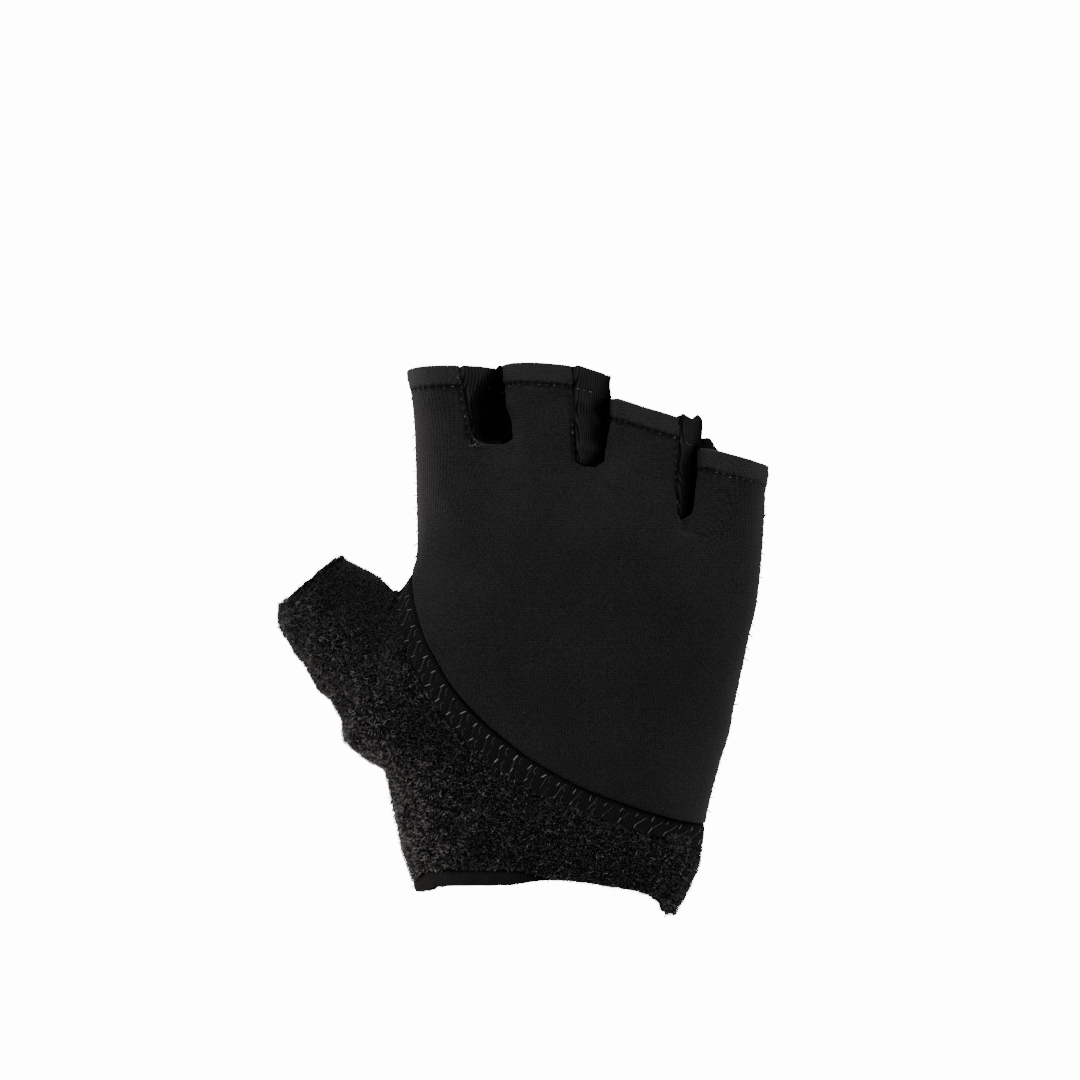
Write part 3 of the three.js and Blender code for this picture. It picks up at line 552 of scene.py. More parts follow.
def pile_yarn():
    """Textured nylon yarn of the loops, brushed open. The eye sees short grey flecks among black ones,
    with painted shade on the thumb's upper side and painted light low at the thumb side.
    """
    material, tree = new_material("pile_yarn")
    fleck = add_node(tree, "ShaderNodeAttribute", attribute_name="fleck")
    colour = ramp(tree, (fleck, "Fac"), (
        (0.0, "#050505"), (0.42, "#151515"), (0.7, "#2b2b2a"), (0.88, "#4c4b4a"), (1.0, "#767472")))
    finish = {"Roughness": 0.55, "Specular IOR Level": 0.12, "Sheen Weight": 0.1, "Sheen Roughness": 0.5}
    return shaded(material, tree, colour, finish)


def spun_thread(name, dark, light, rough):
    """Twisted polyester sewing thread. The eye sees a bead of thread with a soft glint on its twist, partly
    from its gloss and partly painted into its colour by a noise, and its attribute paints a highlight on some
    stitches and leaves others dark."""
    material, tree = new_material(name)
    place = add_node(tree, "ShaderNodeTexCoord")
    twist = add_node(tree, "ShaderNodeTexNoise", {
        "Vector": (place, "Object"), "Scale": 4200.0, "Detail": 2.0})
    fleck = add_node(tree, "ShaderNodeAttribute", attribute_name="fleck")
    tone = scaled_sum(tree, (twist, "Fac"), 0.4, (fleck, "Fac"))
    colour = ramp(tree, (tone, "Value"), ((0.15, dark), (1.0, light)))
    finish = {"Roughness": rough, "Specular IOR Level": 0.2}
    return shaded(material, tree, colour, finish, (twist, "Fac"), 0.4, 0.00004)


def hook_tape():
    """Moulded nylon hook tape. The eye sees a close field of small stiff hooks on a matt strip."""
    material, tree = new_material("hook_tape")
    place = add_node(tree, "ShaderNodeTexCoord")
    hooks = add_node(tree, "ShaderNodeTexVoronoi", {"Vector": (place, "Object"), "Scale": 900.0})
    colour = ramp(tree, (hooks, "Distance"), ((0.1, "#2a2a2a"), (0.5, "#0c0c0c")))
    finish = {"Roughness": 0.5, "IOR": 1.53}
    return shaded(material, tree, colour, finish, (hooks, "Distance"), 1.0, 0.0004, invert=True)


def studio_paper():
    """Matt white background paper. The eye sees a plain pale floor with the faintest tooth."""
    material, tree = new_material("studio_paper")
    place = add_node(tree, "ShaderNodeTexCoord")
    tooth = add_node(tree, "ShaderNodeTexNoise", {
        "Vector": (place, "Object"), "Scale": 400.0, "Detail": 3.0})
    colour = ramp(tree, (tooth, "Fac"), ((0.3, "#ececec"), (0.7, "#f2f2f2")))
    return shaded(material, tree, colour, {"Roughness": 0.9, "Specular IOR Level": 0.1})


KNIT = scuba_knit()
GUSSET = ribbed_knit("gusset_rib_knit", 0.62, "#0b0b0c", "#212122", 0.00014)
BAND = ribbed_knit("seam_band_tape", BAND_RIB, "#070707", "#161616", 0.00012)
BINDING = ribbed_knit("wrist_binding_knit", 0.5, "#060606", "#191919", 0.00012)
PILE_GROUND = pile_ground()
PILE_YARN = pile_yarn()
# The light end of each thread's colours is a painted highlight, given to a stitch by its attribute
HEM_THREAD = spun_thread("hem_thread", "#040404", "#59595a", 0.6)
LOOPER_THREAD = spun_thread("looper_thread", "#0b0b0b", "#3f3f3f", 0.5)
NEEDLE_THREAD = spun_thread("needle_thread", "#101010", "#8e8e90", 0.35)
EDGE_THREAD = spun_thread("edge_thread", "#1d1b19", "#8a8279", 0.5)
HOOKS = hook_tape()

# Back and palm: smooth knit, with hem lines and slot seams pressed in and soft rumples between them


def press_lines(piece, routes, depth, width, pitch):
    """Presses stitch lines into a cloth, deeper at each stitch, and returns how tight it is drawn there."""
    place = places(piece)
    tight = np.zeros(len(place))
    for route in routes:
        apart, at = along(place, np.asarray(route, float))
        dots = 0.6 - 0.4 * np.cos(2 * math.pi * at / pitch)
        tight = np.maximum(tight, np.exp(-((apart / width) ** 2)) * dots)
    tight *= outside(piece)
    push(piece, -depth * tight)
    return tight


def rumple(piece, height, length, seed):
    """Soft unevenness of worn cloth, the same on both faces so that its wall keeps its thickness."""
    place = places(piece)
    outer = outside(piece)
    push(piece, height * waves(place, length, seed) * (2 * outer - 1))


def side_route(heights, side):
    """The seam between the back and the palm, down the thumb side (-1) or the little-finger side (1)."""
    column = 1 if side < 0 else 2
    return [(read_table(OUTLINE, z, column) + side * SIDE_SEAM_OUT, SIDE_SEAM_Y, z)
            for z in np.arange(*heights, 1.0)]


def lean_tabs(piece):
    """Leans the tabs' thumb-side edges over the strips, as the stretched cloth does."""
    place = places(piece)
    for name, table in TAB_LEAN.items():
        finger = FINGERS[name]
        low, high = min(finger["web"]) - 3, max(finger["rim"]) + 1
        edge = finger["x"][1] - finger["half"][1]
        near = smooth_step(5.0, 0.5, np.abs(place[:, 0] - edge)) * smooth_step(2.0, -3.0, place[:, 1])
        near *= (place[:, 2] > low) & (place[:, 2] < high)
        near *= smooth_step(table[0][0] - 3.5, table[0][0], place[:, 2])
        place[:, 0] -= near * read_table(table, place[:, 2])
    move_to(piece, place)


def raise_peek(piece):
    """The palm side of the little finger's mouth stands a little higher than its back, at the ring side."""
    place = places(piece)
    share = smooth_step(95.5, 99.5, place[:, 2]) * smooth_step(-1.0, 3.0, place[:, 1])
    place[:, 2] += 1.8 * share * np.exp(-(((place[:, 0] - 34.9) / 2.6) ** 4))
    move_to(piece, place)


def above_stitches(place):
    """How far above its finger's hem stitches each point on the back of the glove is, and 0 elsewhere."""
    height = np.zeros(len(place))
    flat = np.array((1, 0, 1))
    for route in HEMS.values():
        line = np.asarray(route, float)
        line = line[line[:, 1] < 0.4] * flat
        apart, at = along(place * flat, line)
        own = (place[:, 0] > line[:, 0].min() - 0.4) & (place[:, 0] < line[:, 0].max() + 0.4)
        above = own & (place[:, 2] > point_at(line, at)[:, 2]) & (apart < 1.3 * HEM_LINE)
        height = np.maximum(height, above * apart)
    return height * smooth_step(0, -5, place[:, 1])


def draw_hems(piece):
    """Draws each finger's hem in towards its mouth on the back, so that it catches light from above."""
    place = places(piece)
    place[:, 1] += HEM_LEAN * above_stitches(place)
    move_to(piece, place)


def close_seam_end(piece, height):
    """Draws a piece's upper edge up over the end of the little-finger side's seam, which would gape there."""
    place = places(piece)
    near = np.exp(-(((place[:, 1] - SIDE_SEAM_Y) / 1.8) ** 2)) * (place[:, 0] > 20)
    place[:, 2] += 1.1 * near * smooth_step(height - 2.5, height, place[:, 2])
    move_to(piece, place)


def tuck_under(piece, neighbour, reach=1.5, slide=0.9, sink=0.8):
    """Runs a piece's edge in under the cloth that it is sewn to, and returns how far in each vertex is."""
    surface = surface_of(neighbour)
    place = places(piece)
    apart = np.full(len(place), 9.0)
    towards = np.zeros_like(place)
    for n, point in enumerate(place):
        hit, _, _, distance = surface.find_nearest(Vector(point), 3.0)
        if hit is not None:
            apart[n] = distance
            towards[n] = np.array(hit) - point
    tuck = smooth_step(reach, 0.3, apart)
    inwards = unit(hand_side(place) - place)
    level = unit(towards - np.sum(towards * inwards, axis=1, keepdims=True) * inwards)
    move_to(piece, place + tuck[:, None] * (slide * level + sink * inwards))
    return tuck


def smooth_palm(piece):
    """Smooths the fold where the swell of the thumb's ball begins."""
    place = places(piece)
    fold = (np.abs(place[:, 0] + 18) < 13) & (place[:, 1] > 5) & (np.abs(place[:, 2] - 50) < 34)
    select_only(piece)
    bpy.ops.object.mode_set(mode="EDIT")
    bpy.ops.mesh.select_mode(type="VERT")
    bpy.ops.mesh.select_all(action="DESELECT")
    bpy.ops.object.mode_set(mode="OBJECT")
    piece.data.vertices.foreach_set("select", fold)
    bpy.ops.object.mode_set(mode="EDIT")
    bpy.ops.mesh.vertices_smooth(factor=0.5, repeat=24)
    bpy.ops.object.mode_set(mode="OBJECT")


def swell(piece):
    """Raises and sinks the back of the glove in soft places."""
    place = places(piece)
    for x, z, reach, height in SWELLS:
        share = np.exp(-(((place[:, 0] - x) ** 2 + (place[:, 2] - z) ** 2) / reach ** 2))
        place[:, 1] -= height * share * smooth_step(2, -4, place[:, 1])
    move_to(piece, place)


SIDES = {"little_side_stitches": side_route((17, 96), 1), "index_side_stitches": side_route((75, 114), -1)}
HEMS = {name: hem_route(finger) for name, finger in FINGERS.items()}
ORDER = list(FINGERS.values())
SLOTS = [slot_route(ORDER[i], ORDER[i + 1]) for i in range(3)]

# The palm's thumb-side edge stays behind the back panel above the thumb crotch: height and least x
CROTCH_EDGE = ((68.0, -36.0), (69.4, -33.6), (70.8, -31.2), (72.4, -30.4), (80.0, -30.0), (84.0, -34.0))

back = cloth("back_panel")
palm = cloth("palm_panel")
place = places(palm)
least = read_table(CROTCH_EDGE, place[:, 2])
near = (place[:, 0] < -24) & (place[:, 2] > 68) & (place[:, 2] < 84)
place[near, 0] = np.maximum(place[near, 0], least[near])
move_to(palm, place)
for panel in (back, palm):
    fit_outline(panel)
raise_peek(palm)
smooth_palm(palm)
lean_tabs(back)
swell(back)
draw_hems(back)
tuck_under(palm, back, reach=1.1, slide=0.8, sink=0.25)
for panel, seed in ((back, 3), (palm, 8)):
    press_lines(panel, SIDES.values(), 0.5, 1.6, SIDE_PITCH)
    rumple(panel, 0.13, 26, seed)
    rumple(panel, 0.05, 9, seed + 1)
    routes = [*HEMS.values(), *(SLOTS if panel is back else ())]
    # Painted shade in the pressed stitch lines, and painted light on the hems above their stitches
    pressed = np.clip(1.5 * press_lines(panel, routes, 0.5, 0.5, HEM_PITCH), 0, 1)
    mark(panel, "shut", pressed - HEM_PAINTED_LIGHT * np.clip(above_stitches(places(panel)), 0, 1))
    give_map(panel, form_angle(places(panel)), places(panel)[:, 2])
finish_piece(back, KNIT, ["back_panel"])
finish_piece(palm, KNIT, ["palm_panel"])


# Strips between the fingers


def fold_in(strip, crease, ridges, before, after):
    """Folds a strip in between two fingers: a crease down its front, and its two walls pressed together.
    Returns the shade painted on it: dark beyond the crease, less so towards the palm, lifted on the ridges.
    """
    place = places(strip)
    share = np.clip((place[:, 2] - before["web"][1]) / (before["rim"][1] - before["web"][1]), 0, 1)
    right = np.interp(share, (0, 1), [before["x"][n] + before["half"][n] for n in (1, 0)])
    left = np.interp(share, (0, 1), [after["x"][n] - after["half"][n] for n in (1, 0)])
    own = place[:, 0] < (left + right) / 2
    line = np.asarray(crease, float)
    from_crease = place[:, 0] - np.interp(place[:, 2], line[:, 1], line[:, 0])
    fold = np.where(own, smooth_step(-0.5, 1.5, from_crease), 1.0)
    shade = np.where(own, smooth_step(-1.6, 3.4, from_crease), 1.0)
    shade *= 1 - 0.6 * smooth_step(1.0, 6.0, place[:, 1])
    above_web = smooth_step(before["web"][1] - 1.5, before["web"][1] + 1.5, place[:, 2])
    pressed = np.exp(-((place[:, 1] / 3.4) ** 2)) * above_web
    place[:, 0] += np.where(own, 1, -1) * pressed * (np.maximum(left - right, 0) / 2 + 0.4)
    place[:, 1] += FOLD_DEEP * fold * own * smooth_step(2.0, -4.0, place[:, 1]) * above_web
    shade *= above_web
    seen = place * np.array((1, 0, 1))
    for ridge in ridges:
        apart, _ = along(seen, np.array([(x, 0, z) for x, z in ridge]))
        stands = np.exp(-((apart / 0.9) ** 2)) * smooth_step(2.0, -3.0, place[:, 1])
        place[:, 1] -= 0.8 * stands
        shade = shade * (1 - 0.75 * stands)
    move_to(strip, place)
    return shade


fourchettes = []
for n, (pair, crease) in enumerate(CREASES.items()):
    strip = cloth("fourchette_" + pair)
    rumple(strip, 0.2, 6, 20 + n)
    give_map(strip, places(strip)[:, 1] + 0.4 * places(strip)[:, 0], places(strip)[:, 2])
    shade = fold_in(strip, crease, RIDGES[pair], ORDER[n], ORDER[n + 1])
    if pair == "ring_little":
        raise_peek(strip)
        place = places(strip)
        place[:, 2] += 1.0 * smooth_step(96.0, 107.0, place[:, 2])
        move_to(strip, place)
    # Painted shade in the strip's fold and where it runs in under the back panel
    mark(strip, "shut", np.maximum(shade, tuck_under(strip, back)))
    tuck_under(strip, palm)
    finish_piece(strip, GUSSET, ["fourchette_" + pair])
    fourchettes.append(strip)

# Band

top_line = curve_through([(x, -25.0, z) for x, z in BAND_TOP], 90)
foot_line = curve_through([(x, -25.0, z) for x, z in BAND_FOOT], 90)
band = cloth("seam_band")
fit_outline(band)
band_surface = surface_of(band)


def band_route(share):
    """A line along the band, at a share of the way from its upper seam to its lower one, from the thumb
    crotch round to the little-finger side."""
    line = top_line + (foot_line - top_line) * share
    points = []
    for point in line:
        hit, _, _, _ = band_surface.ray_cast(Vector(point), Vector((0, 1, 0)))
        if hit is not None:
            points.append(np.array(hit))
    level = points[-1][2]
    for angle in range(8, 60, 3):
        way = Vector((math.cos(math.radians(angle - 24)), math.sin(math.radians(angle - 24)), 0))
        hit, _, _, _ = band_surface.ray_cast(Vector((60 * way.x, 60 * way.y, level)), -way)
        if hit is not None and hit.y > points[-1][1] + 0.4:
            points.append(np.array(hit))
    return np.array(points)


band_middle = band_route(0.5)
apart, at = along(places(band), band_middle)
give_map(band, at, apart)
puffs = 0.02 * np.sin(2 * math.pi * at / BAND_RIB) + 0.1 * np.sin(2 * math.pi * at / BAND_PITCH)
push(band, puffs * outside(band))
band_lines = [band_route(share) for share in NEEDLE_ROWS]
# Painted shadow along the band's upper edge, where it runs in under the back panel
mark(band, "shut", tuck_under(band, back, reach=1.7, slide=1.2, sink=0.8))
close_seam_end(band, 12.0)
band_surface = surface_of(band)
finish_piece(band, BAND, ["seam_band"])

# Pile: the thumb sleeve with the cuff, and the strap. Its ground sinks to make room for the loops.
PILE_ROOM = 0.55
THUMB_UP = (0.45, 0, 0.89)

pile = cloth("thumb_cuff_panel")
fit_outline(pile)
push(pile, -PILE_ROOM * outside(pile))
upper_thumb = (places(pile)[:, 0] < -34) & (places(pile)[:, 2] > 62)
push(pile, -1.0 * np.clip(normals(pile) @ np.array(THUMB_UP), 0, 1) * upper_thumb)
rumple(pile, 0.3, 7, 41)
rumple(pile, 0.15, 2.6, 42)
place = places(pile)
hanging = smooth_step(-9, 1, place[:, 0]) * smooth_step(22, 10, place[:, 0])
corner = smooth_step(-27, -30, place[:, 0])
place[:, 2] -= (1.8 * hanging + 1.6 * corner) * smooth_step(9, 5.5, place[:, 2]) * (place[:, 1] < 0)
move_to(pile, place)
tuck_under(pile, band, reach=1.3, slide=0.9, sink=0.3)
tuck_under(pile, palm, reach=2.4, slide=1.5, sink=0.3)
close_seam_end(pile, 6.5)
finish_piece(pile, PILE_GROUND, ["thumb_cuff_panel"])

strap = cloth("wrist_strap")
fit_outline(strap)
push(strap, -PILE_ROOM * outside(strap))
rumple(strap, 0.22, 8, 43)
rumple(strap, 0.12, 2.6, 44)
finish_piece(strap, PILE_GROUND, ["wrist_strap"])

# Binding: it shows at the thumb side, and towards the little finger the pile hangs over it
binding = cloth("wrist_binding")
fit_outline(binding)
give_map(binding, form_angle(places(binding)), places(binding)[:, 2])
rumple(binding, 0.1, 6, 31)
place = places(binding)
on_back = place[:, 1] < 0
hidden = smooth_step(-10, 1, place[:, 0]) * on_back
place[:, 2] += 1.0 * hidden
corner = smooth_step(-27.0, -30.0, place[:, 0]) * smooth_step(0.5, 4.0, place[:, 2]) * on_back
place[:, 2] -= 1.3 * corner
place += unit(hand_side(place) - place) * np.maximum(0.9 * hidden, 0.2 * corner)[:, None]
move_to(binding, place)
# Painted shadow on the binding where the pile hangs over it, and painted shade where it meets the pile
mark(binding, "shut", np.maximum(0.6 * hidden, tuck_under(binding, pile, reach=1.2, slide=0.4, sink=0.3)))
finish_piece(binding, BINDING, ["wrist_binding"])

# Hook tab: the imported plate, in its own material
hook_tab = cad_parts["hook_tab"]
hook_tab.data.materials.clear()
hook_tab.data.materials.append(HOOKS)

# Pile loops: a point on the upper edge of the thumb sleeve and the way down from it, which place the painted
# shade there, the depth that parts its back from its palm side, loops in each field, and how far the fringe
# climbs the band's foot, by x
THUMB_TOP = (-44.3, 0.0, 76.5)
THUMB_DOWN = (-0.58, 0.0, -0.81)
THUMB_MIDDLE = 3.0
LOOPS = 12100
FOOT_LOOPS = 2600
FOOT_FRINGE = ((-10, 20), (0.8, 2.1))
LOOP_LENGTH = 0.95
LOOP_THICK = 0.135


def pile_painted_light(place):
    """Painted light and shade on the loops: shade on the thumb's upper side, light low at the thumb side."""
    from_top = (place - np.array(THUMB_TOP)) @ np.array(THUMB_DOWN)
    on_thumb = smooth_step(-30, -34, place[:, 0]) * smooth_step(50, 56, place[:, 2])
    painted_shade = on_thumb * smooth_step(19, 2, from_top)
    from_edge = place[:, 0] - read_table(THUMB_SIDE_FIT, place[:, 2])
    painted_light = smooth_step(18, 0, from_edge) * smooth_step(60, 25, place[:, 2])
    return 1.0 - 0.5 * painted_shade + 0.45 * painted_light


def scatter(ground, keep, count, pick):
    """Random seats on the outer face of a cloth where keep allows, and the cloth's normals there."""
    mesh = ground.data
    mesh.calc_loop_triangles()
    corners = np.empty(len(mesh.loop_triangles) * 3, int)
    mesh.loop_triangles.foreach_get("vertices", corners)
    corners = corners.reshape(-1, 3)
    place, normal = places(ground), normals(ground)
    a, b, c = (place[corners[:, n]] for n in range(3))
    area = np.linalg.norm(np.cross(b - a, c - a), axis=1) / 2
    area = area * (outside(ground)[corners].mean(axis=1) > 0.45) * keep((a + b + c) / 3)
    chosen = pick.choice(len(area), size=count, p=area / area.sum())
    u, v = pick.random((2, count, 1))
    flip = u + v > 1
    u, v = np.where(flip, 1 - u, u), np.where(flip, 1 - v, v)
    seat = a[chosen] + u * (b - a)[chosen] + v * (c - a)[chosen]
    return seat, unit(normal[corners[chosen]].mean(axis=1))


def cone_faces(count):
    """The faces of many three-sided tubes of three rings and a tip, ten vertices each."""
    pattern = []
    for low in (0, 3):
        for n in range(3):
            m = (n + 1) % 3
            pattern += [(low + n, low + m, low + 3 + m), (low + n, low + 3 + m, low + 3 + n)]
    pattern += [(6 + n, 6 + (n + 1) % 3, 9) for n in range(3)]
    return (np.array(pattern)[None] + (np.arange(count) * 10)[:, None, None]).reshape(-1, 3)


def pile_loops(name, ground, keep, count, seed):
    """Short curled loops of yarn that stand on the outer face of a ground cloth, in one piece."""
    pick = np.random.default_rng(seed)
    seat, out = scatter(ground, keep, count, pick)
    side = pick.normal(size=(count, 3))
    side = unit(side - np.sum(side * out, axis=1, keepdims=True) * out)
    long = LOOP_LENGTH * pick.uniform(0.55, 1.2, (count, 1))
    lean = pick.uniform(0.25, 1.1, (count, 1))
    curl = unit(np.cross(out, side)) * pick.uniform(-0.5, 0.5, (count, 1))
    radius = LOOP_THICK / 2 * pick.uniform(0.7, 1.25, (count, 1))
    way = unit(out + lean * side)
    first = unit(np.cross(way, out + 0.3 * side + 0.01))
    second = np.cross(way, first)
    turns = np.radians([0, 120, 240])[None, :, None]
    round_it = np.cos(turns) * first[:, None] + np.sin(turns) * second[:, None]
    rings = []
    for step, thin in ((-0.12, 1.0), (0.38, 0.95), (0.74, 0.7), (1.0, 0.0)):
        middle = seat + long * (out * (step - 0.42 * step * abs(step)) + side * lean * 0.75 * step
                                + curl * step * step)
        ring = middle[:, None, :] + radius[:, None] * thin * round_it
        rings.append(ring if thin else ring[:, :1])
    vertices = np.concatenate(rings, axis=1)
    piece = piece_from(name, vertices.reshape(-1, 3), cone_faces(count).tolist())
    clump = 0.5 + 0.5 * waves(seat, 1.6, seed + 5)
    # Random tone, times painted shade on the thumb's upper side and painted light low at the thumb side
    tone = np.clip((0.74 * pick.random(count) + 0.32 * clump) * pile_painted_light(seat), 0, 1)
    mark(piece, "fleck", np.repeat(tone, vertices.shape[1]))
    bpy.ops.object.mode_set(mode="EDIT")
    bpy.ops.mesh.select_all(action="SELECT")
    bpy.ops.mesh.normals_make_consistent(inside=False)
    bpy.ops.object.mode_set(mode="OBJECT")
    bpy.ops.object.shade_smooth()
    return finish_piece(piece, PILE_YARN)


def on_thumb_sleeve(place):
    """Whether each place is on the thumb sleeve."""
    return (place[:, 0] < -33) & (place[:, 2] > 44)


def at_band_foot(place):
    """Whether each place is near enough to the band's foot for the pile to reach over it."""
    return along(place, foot_route)[0] < np.interp(place[:, 0], *FOOT_FRINGE)


foot_route = band_route(1.0)
thumb_back_loops = pile_loops(
    "thumb_back_loops", pile, lambda p: on_thumb_sleeve(p) & (p[:, 1] < THUMB_MIDDLE), LOOPS, 51)
thumb_palm_loops = pile_loops(
    "thumb_palm_loops", pile, lambda p: on_thumb_sleeve(p) & (p[:, 1] >= THUMB_MIDDLE), LOOPS, 55)
wedge_loops = pile_loops("wedge_loops", pile, lambda p: ~on_thumb_sleeve(p) & (p[:, 0] < -14), LOOPS, 52)
cuff_loops = pile_loops("cuff_loops", pile, lambda p: p[:, 0] >= -14, LOOPS, 53)
strap_loops = pile_loops("strap_loops", strap, lambda p: np.ones(len(p), bool), LOOPS, 54)
foot_loops = pile_loops("foot_loops", band, at_band_foot, FOOT_LOOPS, 56)

# Stitches: one bead of thread is modelled and copied along each line


def thread_bead(length, thick):
    """One stitch along X: a six-sided tube with ends that dip into the cloth."""
    bpy.ops.object.select_all(action="DESELECT")
    bpy.ops.mesh.primitive_cylinder_add(
        vertices=6, radius=thick / 2, depth=length, end_fill_type="TRIFAN", rotation=(0, math.pi / 2, 0))
    bead = bpy.context.object
    bpy.ops.object.transform_apply(location=True, rotation=True, scale=True)
    bpy.ops.object.mode_set(mode="EDIT")
    for cut in (-0.3, 0.0, 0.3):
        bpy.ops.mesh.select_all(action="SELECT")
        bpy.ops.mesh.bisect(plane_co=(cut * length, 0, 0), plane_no=(1, 0, 0))
    bpy.ops.object.mode_set(mode="OBJECT")
    for vertex in bead.data.vertices:
        share = abs(vertex.co.x) / (length / 2)
        vertex.co.z -= 0.55 * thick * share * share
        if share > 0.9:
            vertex.co.y *= 0.6
    return bead


def sew(name, bead, seats, ways, outs, material, slot, tones=(0.0, 1.0), seed=5):
    """Copies a bead to each seat, along its way and with its crown outwards, as one piece. No two are alike:
    each is a little off in place, slant and size, and has more or less highlight painted into its colour."""
    pick = np.random.default_rng(seed)
    shape = np.array([v.co for v in bead.data.vertices])
    sizes = pick.uniform(0.75, 1.12, len(seats))
    seats = seats + pick.normal(0, 0.08, (len(seats), 3))
    ways = ways + pick.normal(0, 0.12, ways.shape)
    forward = unit(ways - np.sum(ways * outs, axis=1, keepdims=True) * outs)
    across = np.cross(outs, forward)
    vertices = (seats[:, None] + sizes[:, None, None] * (
        shape[None, :, :1] * forward[:, None] + shape[None, :, 1:2] * across[:, None]
        + shape[None, :, 2:] * outs[:, None]))
    faces = [[n * len(shape) + v for v in face.vertices]
             for n in range(len(seats)) for face in bead.data.polygons]
    piece = piece_from(name, vertices.reshape(-1, 3), faces)
    low, high = (np.broadcast_to(tone, len(seats)) for tone in tones)
    mark(piece, "fleck", np.repeat(low + (high - low) * pick.random(len(seats)) ** 2.5, len(shape)))
    bpy.ops.object.shade_smooth()
    return finish_piece(piece, material)


def tubes(name, paths, thick, material, tones):
    """Bare threads along short paths, thinner at their ends, as one piece, with their tones taken in turn."""
    sides = 5
    vertices, faces, flecks = [], [], []
    for number, path in enumerate(paths):
        path = np.asarray(path, float)
        way = unit(np.gradient(path, axis=0))
        first = unit(np.cross(way, np.array([0.31, 0.52, 0.79])))
        second = np.cross(way, first)
        start = len(vertices)
        flecks += [tones[number % len(tones)]] * (len(path) * sides)
        for n, point in enumerate(path):
            ended = n in (0, len(path) - 1)
            for k in range(sides):
                turn = 2 * math.pi * k / sides
                radius = thick / 2 * (0.35 if ended else 1.0)
                vertices.append(point + radius * (math.cos(turn) * first[n] + math.sin(turn) * second[n]))
        for n in range(len(path) - 1):
            for k in range(sides):
                a, b = start + n * sides + k, start + n * sides + (k + 1) % sides
                faces.append((a, b, b + sides, a + sides))
        faces.append(tuple(start + k for k in reversed(range(sides))))
        faces.append(tuple(start + (len(path) - 1) * sides + k for k in range(sides)))
    piece = piece_from(name, vertices, faces)
    mark(piece, "fleck", np.array(flecks))
    bpy.ops.object.shade_smooth()
    return finish_piece(piece, material)


knit_surface = surface_of(back, palm, *fourchettes)
hem_bead = thread_bead(0.6, 0.2)
seats, ways = [], []
for route in list(HEMS.values()) + SLOTS:
    points, directions = even(route, HEM_PITCH)
    seats.append(points + 0.5 * HEM_PITCH * directions - np.array([0, 0, 0.3]))
    ways.append(directions)
seats, outs = settle(np.vstack(seats), knit_surface, 0.0)
hem_stitches = sew("hem_stitches", hem_bead, seats, np.vstack(ways), outs, HEM_THREAD, "smooth_knit")

# The band's threads: how much highlight is painted on its stitches, by x, the tones of its looper thread in
# turn, how many stitches further along that thread ends in the upper row, by x, and where its arcs are hidden
GLINT_SHARE = ((-34, -29, -26, -10, 0, 20, 34), (0.25, 0.5, 1.0, 0.95, 0.5, 0.4, 0.55))
LOOPER_TONES = (0.3, 0.45, 0.2, 0.12, 0.6, 0.4, 0.5, 0.25, 0.1, 0.35, 0.55)
LOOPER_SLANT = ((-12, 30), (0.0, 0.85))
ARCS_END = 10.0


def band_threads():
    """The band's two needle rows, whose glints are partly painted into their colour, and the looper thread
    that runs to and fro between them.
    """
    glints, dim, painted_light = [[], [], []], [], []
    for line in band_lines:
        points, directions = even(line, BAND_PITCH)
        seats, outs = settle(points, band_surface, 0.07)
        slant = np.radians(np.linspace(88, 52, len(points)))[:, None]
        across = np.cross(outs, directions)
        ways = np.cos(slant) * directions + np.sin(slant) * across
        for kept, new in zip(glints, (seats, ways, outs)):
            kept.append(new)
        # Painted highlight on the needle stitches, by x
        painted_light.append(np.interp(seats[:, 0], *GLINT_SHARE))
    upper, lower = glints[0]
    for n in range(min(len(upper), len(lower)) - 1):
        end = upper[n] + np.interp(lower[n][0], *LOOPER_SLANT) * (upper[n + 1] - upper[n])
        straight = [lower[n] + (end - lower[n]) * share for share in np.linspace(0, 1, 6)]
        dim.append(settle(straight, band_surface, 0.03)[0])
        down = unit(lower[n] - upper[n])
        with_arcs = (upper, lower) if lower[n][0] < ARCS_END else ()
        for row in with_arcs:
            step = row[n + 1] - row[n]
            arc = [row[n] + 0.5 * step + (1.0 - 2.0 * share) * down - 0.16 * math.sin(math.pi * share) * step
                   for share in np.linspace(0, 1, 7)]
            dim.append(settle(arc, band_surface, 0.03)[0])
    painted_light = np.concatenate(painted_light)
    needle = sew("band_stitches", band_bead, *(np.vstack(kept) for kept in glints), NEEDLE_THREAD,
                 "ribbed_band", tones=(0.45 * painted_light, painted_light))
    looper = tubes("band_looper", dim, 0.2, LOOPER_THREAD, LOOPER_TONES)
    return needle, looper


band_bead = thread_bead(1.35, 0.19)
band_stitches, band_looper = band_threads()

# Stitches that run across the seams between the back and the palm
side_bead = thread_bead(2.2, 0.3)
for name, route in SIDES.items():
    seats, outs = settle(even(route, SIDE_PITCH)[0], knit_surface, 0.05)
    ways = np.tile((0.0, 1.0, 0.35), (len(seats), 1))
    sew(name, side_bead, seats, ways, outs, HEM_THREAD, "smooth_knit")

# The wedge of pile meets the strap at the thumb side of the wrist in an overlocked edge
edge_surface = surface_of(pile, strap)
edge_route = curve_through([(x - 1.0, 1.8, z) for z, x, _ in THUMB_SIDE_FIT[1:7]], 40)
seats, outs = settle(even(edge_route, EDGE_PITCH)[0], edge_surface, 0.55)
edge_bead = thread_bead(1.7, 0.26)
edge_stitches = sew("edge_stitches", edge_bead, seats, np.tile((0.0, 1.0, 0.25), (len(seats), 1)), outs,
                    EDGE_THREAD, "loop_pile")

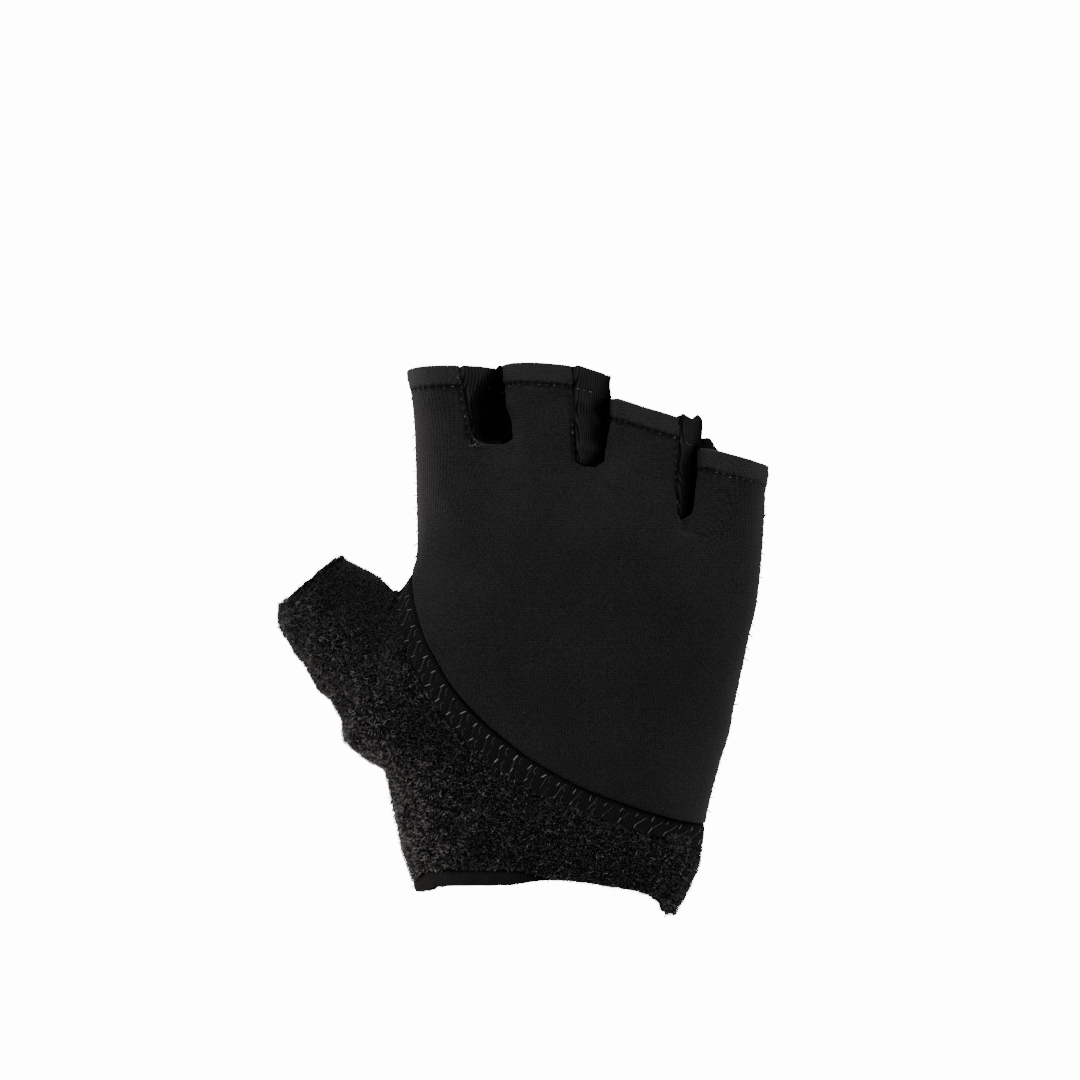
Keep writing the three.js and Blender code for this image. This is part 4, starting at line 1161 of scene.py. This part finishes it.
# A few ends of thread have worked loose where the first strip meets the back panel, and a speck of lint
# lies on the back: paths of x and z
LOOSE = (
    ((-17.9, 101.8), (-17.2, 100.9), (-16.3, 100.8), (-15.6, 101.3)),
    ((-17.4, 101.2), (-16.9, 101.9), (-16.1, 101.9), (-15.2, 101.0)),
    ((-18.2, 100.9), (-17.3, 100.4), (-16.5, 100.9), (-16.0, 100.3)),
    ((-16.5, 100.9), (-15.6, 100.6), (-14.8, 101.1), (-14.1, 100.8)),
)
LINT = ((-5.8, 41.25), (-5.6, 41.2), (-5.45, 41.1))
paths = [settle(curve_through([(x, -10.6, z) for x, z in row], 9), knit_surface, 0.16)[0] for row in LOOSE]
paths.append(settle([(x, -22.0, z) for x, z in LINT], knit_surface, 0.1)[0])
loose_threads = tubes("loose_threads", paths, 0.1, HEM_THREAD, (0.7, 0.6, 0.7, 0.5, 1.6))
for bead in (hem_bead, band_bead, side_bead, edge_bead):
    bpy.data.objects.remove(bead)

# Floor, light and camera

bpy.ops.object.select_all(action="DESELECT")
bpy.ops.mesh.primitive_plane_add(size=3.0, location=(0, 0, -0.30))
floor = bpy.context.object
floor.name = "floor"
floor.data.materials.append(studio_paper())

# The sky lights the glove softly, and the camera sees it far brighter, as a burnt-out white
SKY_LIGHT = 0.46
SKY_SEEN = 14.0
world = bpy.data.worlds.new("soft_studio")
bpy.context.scene.world = world
world.use_nodes = True
sky = world.node_tree.nodes["Background"]
sky.inputs["Color"].default_value = (1, 1, 1, 1)
seen = add_node(world.node_tree, "ShaderNodeLightPath")
strength = add_node(world.node_tree, "ShaderNodeMath", {
    0: (seen, "Is Camera Ray"), 1: SKY_SEEN - SKY_LIGHT, 2: SKY_LIGHT}, operation="MULTIPLY_ADD")
world.node_tree.links.new(strength.outputs["Value"], sky.inputs["Strength"])


def soft_light(name, place, size, power, colour="#ffffff"):
    """A square soft box that looks at the middle of the glove."""
    bpy.ops.object.light_add(type="AREA", location=place)
    light = bpy.context.object
    light.name = name
    light.data.size = size
    light.data.energy = power
    light.data.color = srgb(colour)[:3]
    light.rotation_euler = (Vector((0, 0, 0.06)) - Vector(place)).to_track_quat("-Z", "Y").to_euler()


soft_light("key", (-0.6, -0.9, 0.9), 0.6, 4.6)
soft_light("top", (-0.05, -0.22, 0.62), 0.35, 3.6)
soft_light("fill", (0.8, -0.7, 0.3), 0.6, 1.8)
soft_light("thumb_side", (-0.85, 0.2, -0.15), 0.6, 16, "#fff4ec")
soft_light("little_side", (1.0, 0.25, 0.2), 0.7, 4.6)

# The camera's distance, and the width of what it sees there, in metres
CAMERA_FAR = 1.30
FRAME_WIDTH = 0.243
bpy.ops.object.camera_add(location=(-0.00225, -CAMERA_FAR, 0.0794), rotation=(math.pi / 2, 0, 0))
camera = bpy.context.object
camera.data.sensor_width = 36
camera.data.lens = camera.data.sensor_width * CAMERA_FAR / FRAME_WIDTH
bpy.context.scene.camera = camera
